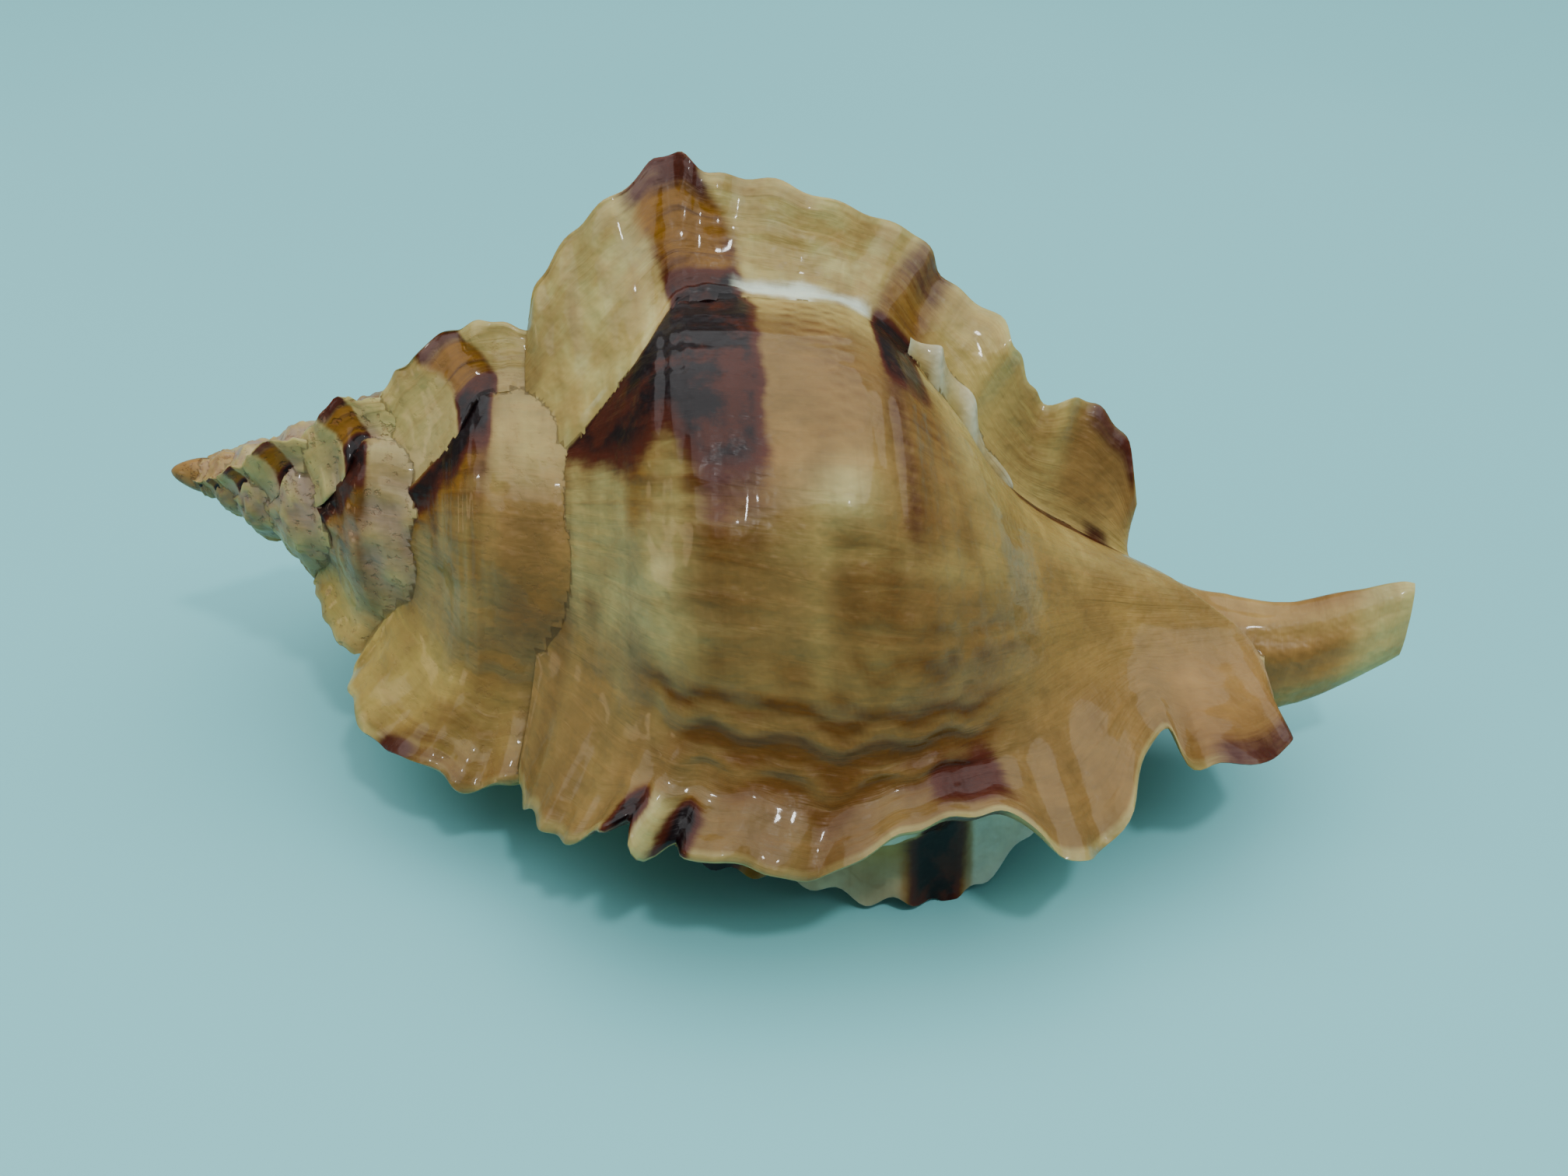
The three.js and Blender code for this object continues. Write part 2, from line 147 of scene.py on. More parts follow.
# Relief. Lengths are for a whorl as large as the last one.
# Growth ridges behind the lip: growth, height, and the ribs they run between.
RIDGES = [
    (-46, 0.12, 3, 9.5), (-41.5, 0.22, 4, 9.8), (-37, 0.2, 3.4, 9.6), (-32.5, 0.26, 3, 9.4),
    (-26.5, 0.34, 3, 9.2), (-20.5, 0.32, 3.4, 9.2),
]
RIDGE_WIDTH = 1.5
BAND_HALF = 0.7  # half width of the first colour band on a wing, in ribs
SECOND_BAND = 8.45  # rib at the middle of the second colour band
LIP_NOTCHES = (3.72, 4.5)  # ribs at which the last wing is notched
LIP_LOBE = 4.1  # rib of the lobe between them
# The ruffled white lamella along the front root of the wing on top.
FRILL_WING = 1
FRILL_RIBS = (8.75, 11.7)
FRILL_HEIGHT = 2.3
FRILL_ROOT = 0.9  # depth of its foot in the shell
FRILL_LEAN = 0.42
FRILL_THICK = 0.42
FRILL_FOLDS = 3.1


def srgb(red, green, blue):
    values = np.array([red, green, blue]) / 255
    return np.where(values <= 0.04045, values / 12.92, ((values + 0.055) / 1.055) ** 2.4)


# Base colours
CREAM = srgb(172, 152, 90)
PALE = srgb(182, 172, 112)
PEACH = srgb(150, 114, 62)
TAN = srgb(114, 86, 45)
FAN = srgb(148, 119, 62)
BUTTER = srgb(178, 154, 82)
OCHRE = srgb(92, 57, 15)
AMBER = srgb(124, 82, 12)
RED_BROWN = srgb(62, 22, 8)
NEAR_BLACK = srgb(18, 6, 8)
MAUVE = srgb(82, 48, 36)
WHITE = srgb(196, 204, 184)
GREY = srgb(150, 130, 114)
FLOOR_DARK = srgb(122, 194, 199)
FLOOR_LIGHT = srgb(126, 198, 203)
HORN = srgb(46, 20, 9)
HORN_DARK = srgb(16, 8, 5)


def smooth(values, position):
    """Catmull-Rom curve through the rows of values, at fractional positions."""
    values = np.asarray(values, float)
    last = len(values) - 1
    at = np.clip(np.asarray(position, float), 0, last)
    start = np.minimum(np.floor(at).astype(int), last - 1)
    f = at - start
    if values.ndim > 1:
        f = f.reshape(f.shape + (1,) * (values.ndim - 1))
    a, b, c, d = [values[np.clip(start + step, 0, last)] for step in (-1, 0, 1, 2)]
    return 0.5 * (2 * b + (c - a) * f + (2 * a - 5 * b + 4 * c - d) * f**2 + (3 * b - a - 3 * c + d) * f**3)


def size_at(growth):
    """Size of the coil at a growth, against the last wing."""
    return WHORL_GROWTH ** (growth / 360)


def above(x, low, soft):
    """1 above low, fading to 0 over the soft distance on either side of it."""
    up = np.clip((x - low) / soft / 2 + 0.5, 0, 1)
    return up * up * (3 - 2 * up)


def below(x, high, soft):
    return above(-x, -high, soft)


def span(x, low, high, soft_low, soft_high):
    """1 between low and high, fading at both ends."""
    return above(x, low, soft_low) * below(x, high, soft_high)


def bell(x, centre, width):
    return np.exp(-(((x - centre) / width) ** 2))


def wave(x, cycles, phase=0.0):
    return np.sin(2 * np.pi * cycles * x + phase)


def grain(x, y, z, seed):
    """Smooth value noise from -1 to 1, one lump to a unit."""
    x, y, z = np.broadcast_arrays(*[np.asarray(v, float) for v in (x, y, z)])
    corner = [np.floor(v) for v in (x, y, z)]
    f = [v - c for v, c in zip((x, y, z), corner)]
    f = [v * v * (3 - 2 * v) for v in f]
    total = np.zeros(x.shape)
    for i in (0, 1):
        for j in (0, 1):
            for k in (0, 1):
                key = (corner[0] + i) * 127.1 + (corner[1] + j) * 311.7 + (corner[2] + k) * 74.7
                value = np.modf(np.abs(np.sin(key + seed * 13.7) * 43758.5453))[0]
                weight = 1.0
                for step, part in zip((i, j, k), f):
                    weight = weight * (part if step else 1 - part)
                total += value * weight
    return total * 2 - 1


def fold_growth(wing, rib, before):
    """Growth from a wing's front root, with its front slope spread out near the suture."""
    if wing == 0:
        return before + 0 * rib
    spread = smooth(RIBS, rib)[..., SPREAD]
    return np.where(before > FOLD_EDGE, FOLD_EDGE + (before - FOLD_EDGE) * spread, before)


def foot_line(rib):
    """Growth at which the wing before ends its front slope, counted from the next wing."""
    spread = smooth(RIBS, rib)[..., SPREAD]
    return -WING_STEP + FOLD_EDGE + (WING_FOLD[-1, 0] - FOLD_EDGE) * spread


def wear_lumps(wing, rib, before):
    """Lumps of the worn spire, from about -1.6 to 1.6."""
    broad = grain(rib * 0.9, before * 0.075, wing * 1.9, 8)
    return broad + 0.6 * grain(rib * 2.1, before * 0.16, wing * 1.9, 9)


def ridge_wave(wing, rib):
    return 0.95 * wave(rib, 0.8, 0.8) + 0.7 * grain(rib * 1.7, wing, 0, 1)


def band_offset(wing, rib, share):
    """Distance from the middle of the first colour band, in half widths of it."""
    half = BAND_HALF
    if wing == 1:
        half = BAND_HALF * (1 + 0.35 * np.clip(share * 1.6, 0, 1))
    return np.abs(rib - band_middle(wing, share)) / half


def band_middle(wing, share):
    """Rib at the middle of the first colour band, which is a gutter in the wing."""
    return 4.55 - 0.9 * share**1.6 - (0.75 if wing > LAST_FULL_WING else 0)


def flute(wing, rib):
    """Uneven wave of the flutes near the canal."""
    return wave(rib, 0.95, 0.9 + wing * 1.7 + 0.5 * grain(rib * 0.8, wing, 0, 12))


def whorl_swell(wing, rib, before, share):
    """Ridges, cords and knobs of the open whorl, in mm outward."""
    open_whorl = (1 - np.clip(share * 1.6, 0, 1)) ** 2
    swell = np.zeros(rib.shape)
    for growth, height, low, high in RIDGES:
        strength = height * span(rib, low, high, 0.9, 0.9) * (1 if wing == 0 else 0.6)
        waved = growth + ridge_wave(wing, rib) * min(1, (growth + 52) / 14)
        swell += strength * bell(before, waved, RIDGE_WIDTH)
    wander = rib + 0.25 * grain(rib * 0.7, before * 0.03, wing, 13)
    cords = 0.07 * wave(wander, 1, np.pi / 2) + 0.05 * wave(wander, 2.7, np.pi / 2 + 1)
    cords = cords * (0.6 + 0.6 * grain(rib * 0.8, before * 0.04, wing, 14))
    swell += cords * open_whorl * span(rib, 1.5, 12, 1, 2)
    swell += 0.7 * bell(rib, 6.6, 0.5) * bell(before, -65, 6) * (1 if wing <= LAST_FULL_WING else 0.5)
    swell += 0.35 * bell(rib, 4.7, 0.45) * bell(before, -57, 5)
    swell += 0.3 * grain(rib * 0.9, before * 0.05, wing * 3.1, 2) * open_whorl * above(rib, 1, 1)
    return swell + 0.06 * grain(rib * 0.7, before * 0.8, wing * 3.1, 3)


def wing_ripple(wing, rib, share, front):
    """Flutes and gutters of the wings, in degrees of growth; they fan out toward the canal."""
    ripple = 0.4 * wave(rib, 1.45, wing) + 0.6 * grain(rib * 2.6, wing * 5.3, share, 4)
    ripple = ripple * share + span(rib, 9.0, 14.6, 1.0, 0.8) * flute(wing, rib) * share
    off = band_offset(wing, rib, share)
    ripple += (0.55 * bell(off, 1.15, 0.4) - 1.2 * bell(off, 0, 0.8)) * share**0.7
    off = np.abs(rib - SECOND_BAND)
    ripple += (0.4 * bell(off, 0.85, 0.3) - 0.8 * bell(off, 0, 0.45)) * share**0.7
    return ripple + 0.22 * grain(rib * 0.8, share * 9, wing * 2.3 + front, 5) * np.clip(share * 4, 0, 1)


def wing_edge(wing, rib):
    """Factor on a wing's height: scallops everywhere, and the notches in the last wing."""
    edge = 1 + 0.02 * wave(rib, SCALLOPS, wing * 2.1) + 0.035 * grain(rib * 2.3, wing * 7.7, 0, 6)
    if wing == 0:
        edge -= 0.24 * bell(rib, LIP_NOTCHES[0], 0.17) + 0.24 * bell(rib, LIP_NOTCHES[1], 0.18)
        edge += 0.02 * bell(rib, LIP_LOBE, 0.2)
        edge -= 0.12 * bell(rib, 11.3, 0.9)
    if wing == 1:
        edge += 0.02 * bell(rib, 3.6, 0.5) - 0.04 * bell(rib, 4.5, 0.3)
    return edge


def relief(wing, rib, before, share, front):
    """Outward swell in mm, ripple in degrees of growth, and the factor on the wing's height."""
    swell = whorl_swell(wing, rib, before, share)
    ripple = wing_ripple(wing, rib, share, front)
    if wing <= LAST_FULL_WING + 1:
        callus = span(rib, 0.3, 7.8, 0.6, 0.6) * (0.8 + 0.35 * grain(rib * 2.5, wing, 0, 7))
        swell += 0.32 * callus * bell(before, -0.6, 0.9) * front
    if wing > LAST_FULL_WING:
        ripple += 1.6 * grain(rib * 1.5, share * 2.5, wing * 3.7 + front, 15) * share**0.5
        swell += 0.5 * grain(rib * 1.1, share * 2.0, wing * 5.9, 16) * share**0.5
        worn = {3: 0.3, 4: 0.5}.get(wing, 1.0)
        swell += worn * wear_lumps(wing, rib, before) * above(rib, 0.4, 0.4)
    return swell, ripple, wing_edge(wing, rib)


def shell_points(wing, rib, before, share, front):
    """Points of the coil's surface; every argument is an array of the same shape."""
    wing_growth = -wing * WING_STEP
    swell, ripple, edge = relief(wing, rib, before, share, front)
    ribs = smooth(RIBS, rib)
    height = share * WING_HEIGHTS[min(wing, len(WING_HEIGHTS) - 1)] * (1 + (edge - 1) * share)
    lean = share * (ribs[..., LEAN] + FOLD_LEAN + FLUTE_SWING * wave(rib, 0.5))
    growth = wing_growth + fold_growth(wing, rib, before) + lean + ripple
    column = LAST_EDGE if wing == 0 else BODY_EDGE if wing <= LAST_FULL_WING else EARLY_EDGE
    root_size = size_at(growth)
    edge_size = size_at(wing_growth)
    along = ribs[..., ALONG] * root_size * (1 - height) + ribs[..., column] * edge_size * height
    radius = ribs[..., RADIUS] * root_size * (1 - height) + ribs[..., column + 1] * edge_size * height
    radius = radius + swell * root_size * np.clip(radius / root_size / 10, 0, 1)
    radius = radius * (1 - SUTURE_TUCK * np.clip(1 - rib / 0.6, 0, 1) ** 2 * (1 - np.clip(share * 3, 0, 1)))
    return coil_points(along, radius, growth)


def coil_points(along, radius, growth):
    angle = np.radians(LIP_ROOT_ANGLE + growth)
    return np.stack([along, radius * np.cos(angle), radius * np.sin(angle)], -1)


def lip_points(rib, part):
    """The free edge of the lip, from the last wing's root (part 0) to the rim (part 1)."""
    reach, flare = np.moveaxis(smooth(LIP, rib), -1, 0)
    scallop = LIP_SCALLOP * wave(rib, 0.5) + 0.5 * wave(rib, SCALLOPS) + grain(rib * 2.4, 0, 0, 11)
    growth = WING_FOLD[-1, 0] + (reach - WING_FOLD[-1, 0]) * part + scallop * part
    size = size_at(growth)
    ribs = smooth(RIBS, rib)
    pleat = 0.25 * wave(rib, SCALLOPS, 0.7) * part * span(rib, 4, 11.5, 1, 1)
    return coil_points(ribs[..., ALONG] * size, ribs[..., RADIUS] * size + flare * part**1.6 + pleat, growth)


# Colours. A layer of base colour covers what is below it; marks add up, and the material turns
# them into stains with broken, striped borders.


def lay(colour, other, amount):
    return colour + (other - colour) * np.clip(amount, 0, 1)[..., None]


STAINS = ["dark", "amber", "mauve"]
STREAKS = ["ochre", "white", "worn"]


class Coat:
    """Base colour and marks of every point of one sector of the shell."""

    def __init__(self, wing, rib, before, share, front):
        self.wing = wing
        self.rib = rib
        self.before = before
        self.share = share
        self.on_wing = np.clip(share * 3.5, 0, 1) * (1 - front)
        self.whorl = (1 - front) * (1 - self.on_wing)
        self.face = front
        self.patch = grain(rib * 0.55, before * 0.045, wing * 4.3, 21)
        self.streak = grain(rib * 2.6, before * 0.02, wing * 4.3, 22)
        self.inside = np.clip((before - foot_line(rib) + 1.5) / 2.5, 0, 1)
        self.tint = np.broadcast_to(CREAM, rib.shape + (3,)).copy()
        self.marks = {name: np.zeros(rib.shape) for name in STAINS + STREAKS}

    def cover(self, colour, amount):
        self.tint = lay(self.tint, colour, amount)

    def mark(self, name, amount):
        self.marks[name] += amount

    def zone(self, ribs, growths):
        return span(self.rib, *ribs) * span(self.before, *growths)

    def mark_whorl(self, rows):
        for name, ribs, growths, strength, streaked in rows:
            self.mark(name, self.whorl * self.zone(ribs, growths) * (strength + streaked * self.streak))

    def fields(self):
        return self.tint, *[np.stack([self.marks[name] for name in names], -1) for names in (STAINS, STREAKS)]


# Marks on the body whorl: which, ribs and growth (first, last and both soft borders), strength, and
# how much of it follows the streaks.
BODY_MARKS = [
    ("dark", (4.0, 5.5, 0.4, 0.3), (-84, -60, 8, 10), 0.4, 0.3),
    ("dark", (11.5, 14, 0.4, 0.6), (-118, -102, 1, 5), 0.85, 0),
    ("amber", (8.0, 9.2, 0.3, 0.4), (-100, -82, 4, 10), 0.5, 0),
    ("amber", (9.7, 10.2, 0.2, 0.2), (-98, -66, 5, 8), 0.35, 0),
    ("ochre", (0.3, 1.0, 0.2, 0.25), (-78, -24, 6, 6), 0.85, 0),
    ("ochre", (1, 5.4, 0.6, 0.2), (-90, -60, 6, 12), 0.5, 0.4),
    ("ochre", (3.8, 5.5, 0.4, 0.3), (-80, -40, 8, 14), 0.75, 0.3),
    ("ochre", (6.4, 7.6, 0.3, 0.3), (-62, -42, 5, 5), 0.75, 0),
    ("ochre", (8.2, 9.4, 0.4, 0.4), (-104, -78, 4, 10), 0.5, 0),
    ("ochre", (8.2, 9.8, 0.4, 0.5), (-90, -60, 8, 10), 0.25, 0.3),
]
# Marks on the whorl before it and on the spire.
EARLY_MARKS = [
    ("ochre", (0.1, 0.9, 0.2, 0.25), (-100, -20, 6, 6), 0.6, 0),
    ("ochre", (1.2, 4.3, 0.4, 0.3), (-98, -50, 6, 12), 0.6, 0.5),
]
# Brown lines beside the growth ridges: growth, first and last rib, strength, width.
RIDGE_SHADES = [
    (-44, 7.4, 10, 0.5, 1.1), (-39.2, 6.4, 10.2, 0.8, 1.1), (-34.6, 4.6, 9.6, 0.8, 1.1),
    (-29.4, 3.0, 9.4, 1.3, 1.5), (-23.4, 4.0, 9.3, 1.5, 2.2), (-18, 4.8, 8.2, 0.8, 1.5),
]


def tint_body_whorl(c):
    """Base colours of the body whorl, from light patches behind the lip to the brown fan, with painted shade
    and a painted highlight.
    """
    rib, before, whorl, patch, streak = c.rib, c.before, c.whorl, c.patch, c.streak
    lower = whorl + c.on_wing
    c.cover(PEACH, lower * span(before, -99, -50, 7, 9) * (0.8 + 0.4 * patch) * span(rib, 4.4, 9, 1, 1))
    c.cover(TAN, lower * span(before, -68, -4, 14, 4) * (0.7 + 0.35 * patch + 0.3 * streak))
    c.cover(PALE, whorl * c.zone((0.3, 4.0, 0.4, 0.8), (-74, -34, 8, 8)) * (0.5 + 0.4 * patch))
    # Pale patch on the knob at rib 6.6: partly its own cream colour, partly a painted highlight on the knob.
    c.cover(PALE, whorl * bell(rib, 6.6, 0.6) * bell(before, -66, 6) * 0.85)
    c.cover(PALE, whorl * bell(rib, 3.6, 1.5) * bell(before, -42, 6) * 0.75)
    c.cover(CREAM, whorl * span(rib, 5, 9.6, 0.6, 0.6) * bell(before, -57, 4) * 0.5)
    c.cover(FAN, lower * above(rib, 9.4, 0.8) * (0.5 + 0.35 * patch + 0.35 * streak))
    c.cover(TAN, whorl * c.zone((5.4, 7.8, 0.3, 0.3), (-98, -74, 6, 6)) * 0.5)
    # Tan over the lowest stretch of the body behind the lip: partly its tan colour, partly painted shade
    # where the body turns down away from the light.
    c.cover(TAN, lower * c.zone((4, 10.5, 0.7, 0.7), (-52, 2, 6, 3)) * 0.5)
    c.cover(TAN, whorl * c.zone((5, 9, 0.4, 1), (-107, -84, 4, 10)) * (0.7 + 0.3 * patch))
    # Tan over the front of every wing, patchy: painted shade that darkens the wing fronts.
    c.cover(TAN, c.face * (0.24 + 0.2 * patch))


def mark_body_whorl(c):
    """The dark patches that both bands leave behind a wing, and the brown growth lines."""
    rib, before, whorl, patch, streak = c.rib, c.before, c.whorl, c.patch, c.streak
    right = below(rib, 5.42 + 0.1 * grain(before * 0.3, c.wing, 0, 25), 0.26)
    limit = -72 + span(rib, 3.9, 6, 0.45, 1) - 1.5 * bell(rib, 3.35, 0.45) + 5 * bell(rib, 2.2, 0.8)
    limit = limit + 1.5 * streak
    c.mark("dark", whorl * c.inside * right * below(before, limit - 4, 11))
    c.mark("amber", whorl * c.inside * right * below(before, limit + 12, 9) * (0.4 + 0.3 * streak))
    c.mark("dark", whorl * c.inside * span(rib, 7.7, 8.95, 0.16, 0.3) * below(before, -95, 5))
    middle = 8.0 + 0.22 * grain(before * 0.06, c.wing, 0, 23)
    c.mark("mauve", whorl * bell(rib, middle, 0.36) * span(before, -100, -52, 3, 18) * 0.6)
    c.mark("ochre", whorl * bell(rib, middle + 0.2, 0.5) * span(before, -100, -42, 3, 20) * 0.5)
    c.mark_whorl(BODY_MARKS)
    waved = before - ridge_wave(c.wing, rib)
    brown_lines = bell(np.mod(waved, 3.1), 1.55, 0.75) * np.clip(0.5 + 1.1 * patch + 0.6 * streak, 0, 1)
    c.mark("ochre", whorl * c.zone((5.4, 8.0, 0.3, 0.3), (-113, -78, 2, 8)) * brown_lines * 0.9)
    for growth, low, high, amount, wide in RIDGE_SHADES:
        c.mark("ochre", amount * bell(waved, growth, wide) * span(rib, low, high, 0.5, 0.6) * (1 - c.face))
    c.mark("ochre", whorl * bell(rib, 1.5, 0.26) * bell(before, -36, 4))


def paint_early_whorl(c):
    rib, before, whorl, back, patch, streak = c.rib, c.before, c.whorl, c.on_wing, c.patch, c.streak
    c.cover(PEACH, (whorl + back * 0.6) * (0.75 + 0.3 * patch + 0.2 * streak) * span(before, -104, -4, 12, 8))
    c.cover(TAN, whorl * (0.6 + 0.4 * patch) * below(before, -10, 6))
    # Tan over the backs of the early wings, stronger beyond rib 3.6: partly their tan colour, partly painted
    # shade where they lie between the wing lobes.
    c.cover(TAN, back * (0.25 + 0.5 * above(rib, 3.6, 1.2)))
    c.cover(PALE, whorl * span(rib, 4.6, 7.6, 0.25, 0.3) * below(before, -82, 12) * 0.25)
    c.mark("ochre", (back + whorl * span(before, -50, 0, 8, 1)) * above(rib, 3.8, 1.2) * (0.3 + 0.6 * patch))
    c.mark("ochre", whorl * span(rib, 0.8, 4.5, 0.4, 0.3) * below(before, -76, 12) * (0.6 + 0.4 * streak))
    c.mark_whorl(EARLY_MARKS)
    foot = foot_line(rib)
    near = whorl * c.inside
    c.mark("dark", near * span(rib, 3.0, 4.4, 0.25, 0.2) * below(before, -92, 10))
    c.mark("dark", near * span(rib, 0.3, 3.4, 0.3, 0.5) * below(before, foot + 15 + 4 * streak, 8) * 0.85)
    c.mark("amber", near * span(rib, 0.4, 4.4, 0.3, 0.2) * below(before, foot + 25 + 6 * streak, 11) * 0.8)


def paint_wear(c):
    """Grey, lumpy, pitted surface of the old spire."""
    lumps = wear_lumps(c.wing, c.rib, c.before)
    age = min(1, (c.wing - 3) / 4)
    c.cover(GREY, age * np.clip(0.7 - 0.5 * lumps, 0, 1))
    c.cover(PALE, age * np.clip(0.3 + 0.9 * lumps, 0, 1) * 0.7)
    c.cover(CREAM, np.clip(c.share * 2, 0, 1) * 0.7)
    c.mark("worn", age)


def paint_first_band(c):
    """Up the front of a wing: dark at the root, amber in the middle, mauve at the edge."""
    share = c.share
    off = band_offset(c.wing, c.rib, share)
    strip = c.face * np.clip((1.25 - off) / 0.5, 0, 1)
    c.mark("dark", strip * below(share, 0.42 if c.wing == 0 else 0.15, 0.1))
    c.mark("amber", strip * below(share, 0.85, 0.14))
    c.mark("dark", c.face * bell(off, 0.95, 0.2) * span(share, 0.05, 0.6, 0.05, 0.2) * 0.25)
    c.mark("mauve", strip * above(share, 0.78, 0.14) * 0.85)


def paint_second_band(c):
    share = c.share
    strip = c.face * span(c.rib, 7.8 + 0.15 * share, 9.1, 0.2, 0.3)
    c.mark("dark", strip * below(share, 0.4 if c.wing == 0 else 0.12, 0.1))
    c.mark("ochre", strip * span(share, 0.05, 0.75, 0.08, 0.2) * 0.9)
    c.mark("amber", strip * span(share, 0.05, 0.6, 0.08, 0.2) * 0.5)
    c.mark("mauve", strip * above(share, 0.6, 0.16) * 0.7)


def paint_wing_front(c):
    """The fan near the canal, with brown ribs between cream ones that are partly lifted as painted light, and
    the mottled upper front.
    """
    rib, share, face, patch = c.rib, c.share, c.face, c.patch
    c.cover(FAN, face * above(rib, 8.8, 0.6) * np.clip(0.3 - 0.2 * flute(c.wing, rib) + 0.6 * patch, 0, 1))
    brown = np.clip(0.2 + 0.5 * patch, 0, 1)
    c.mark("ochre", face * span(rib, 11.1, 12.3, 0.5, 0.4) * above(share, 0.3, 0.2) * brown)
    c.mark("ochre", face * span(rib, 12.6, 13.8, 0.3, 0.3) * below(share, 0.6, 0.3) * 0.35)
    # Cream brighter than the base over the fan's front: partly its cream colour, partly painted light that
    # lifts the fan face turned away from the lamp.
    c.cover(CREAM * 1.2, face * above(rib, 9.4, 0.6) * 0.65)
    c.mark("mauve", face * span(rib, 13.3, 14.2, 0.3, 0.3) * below(share, 0.16, 0.12) * 0.7)
    mottle = grain(rib * 3.1, share * 6, c.wing, 27) + 0.7 * grain(rib * 6.5, share * 14, c.wing, 28)
    upper = face * span(rib, 0.2, 7.6, 0.5, 0.4)
    c.cover(PEACH, upper * np.clip(0.15 + patch * 0.6 + mottle * 0.3, 0, 0.5))
    c.cover(PALE, upper * np.clip(-mottle * 0.7, 0, 0.6))


def paint_wing_back(c):
    """Back of a wing: both bands, the lip's notches, and the flap beside the canal."""
    rib, share, back = c.rib, c.share, c.on_wing
    c.mark("ochre", back * span(rib, 5, 8.2, 0.6, 0.6) * (0.3 + 0.35 * c.streak))
    c.mark("mauve", back * span(rib, 7.9, 9.3, 0.25, 0.3) * span(share, 0.12, 0.92, 0.14, 0.16) * 0.5)
    c.mark("dark", back * span(rib, 7.9, 9.2, 0.25, 0.3) * span(share, 0.2, 0.8, 0.2, 0.2) * 0.55)
    c.cover(TAN, back * (0.62 if c.wing == 0 else 0.66))
    c.cover(CREAM, back * below(rib, 3.2, 0.6) * (0.1 if c.wing == 0 else 0.2))
    notch = bell(rib, LIP_NOTCHES[0] - 0.06, 0.24) + bell(rib, LIP_NOTCHES[1] + 0.06, 0.25)
    c.mark("amber", back * notch * above(share, 0.55, 0.12))
    c.mark("dark", back * notch * above(share, 0.62, 0.12) * 1.2)
    c.cover(PALE, back * bell(rib, LIP_LOBE, 0.25) * above(share, 0.6, 0.1))
    flap = np.clip(share * 3, 0, 1) * above(rib, 12.7, 0.3)
    c.cover(PEACH, flap * 0.8)
    c.mark("ochre", flap * above(share, 0.6, 0.25) * 0.55)
    c.mark("mauve", flap * span(rib, 13.0, 14.6, 0.3, 0.3) * above(share, 0.8, 0.16) * 0.8)


def paint_callus(c):
    """White lime along the front root of a wing."""
    spread = smooth(RIBS, c.rib)[..., SPREAD]
    ragged = 1 + 0.5 * grain(c.rib * 2.2, c.wing, 0, 26)
    lower = bell(c.before, -1.9, 2.4 * ragged) * span(c.rib, 5.1, 7.8, 0.4, 0.4) * 0.85
    upper = bell(c.before, -0.4, 2.6 / spread) * span(c.rib, 0.2, 3.9, 0.5, 0.4) * (0.4 + 0.25 * c.patch)
    c.mark("white", c.face * (lower + upper))


def paint(wing, rib, before, share, front):
    """Base colour, (dark, amber, mauve) and (ochre, white, worn) of every point."""
    c = Coat(wing, rib, before, share, front)
    if wing <= LAST_FULL_WING:
        tint_body_whorl(c)
        mark_body_whorl(c)
    elif wing <= LAST_SMALL_WING:
        paint_early_whorl(c)
    else:
        c.cover(PEACH, np.clip(0.4 + 0.5 * c.patch, 0, 1))
    if wing >= 4:
        paint_wear(c)
    if wing >= 15:
        c.cover(PEACH, np.full(rib.shape, 0.6))
    if wing == 3:
        c.mark("worn", 0.25)
    paint_first_band(c)
    if wing <= LAST_FULL_WING:
        paint_second_band(c)
        paint_wing_front(c)
        paint_wing_back(c)
    if wing in (3, 4):
        c.mark("mauve", c.on_wing * bell(rib, 2.9, 0.45) * above(share, 0.86, 0.12) * 1.2)
        c.mark("ochre", c.on_wing * bell(rib, 3.1, 0.8) * above(share, 0.5, 0.3) * 0.8)
    if wing in (3, 6):
        c.cover(BUTTER, c.on_wing * (0.85 - 0.6 * above(rib, 2.4, 1.4) + 0.3 * c.patch))
    if wing <= LAST_FULL_WING + 1:
        paint_callus(c)
    c.cover(PALE, above(share, 0.965, 0.02) * 0.5)
    return c.fields()


def paint_lip(rib, part):
    """The free edge of the lip: cream whitening toward the rim, partly as painted light, with the ends of
    both bands, and a white frill.
    """
    patch = grain(rib * 1.2, part, 0, 24)
    # Whitening toward the rim: partly the lip's whitish scallops, partly painted light on the lip's
    # underside, which faces down into shade.
    tint = lay(np.broadcast_to(CREAM, rib.shape + (3,)), WHITE, 0.5 * part + 0.3 * patch)
    dark = span(rib, 3.7, 4.8, 0.2, 0.2) + span(rib, 7.6, 8.6, 0.25, 0.25)
    amber = span(rib, 3.4, 5.3, 0.3, 0.3) + span(rib, 7.4, 8.8, 0.3, 0.3) + above(rib, 12.5, 0.4) * 0.6
    white = span(rib, 8.9, 10.8, 0.2, 0.3)
    zero = np.zeros(rib.shape)
    return tint, np.stack([dark, amber, zero], -1), np.stack([zero + 0.1, white, zero], -1)


# Solids as vertex and face lists, with the paint fields of every vertex.


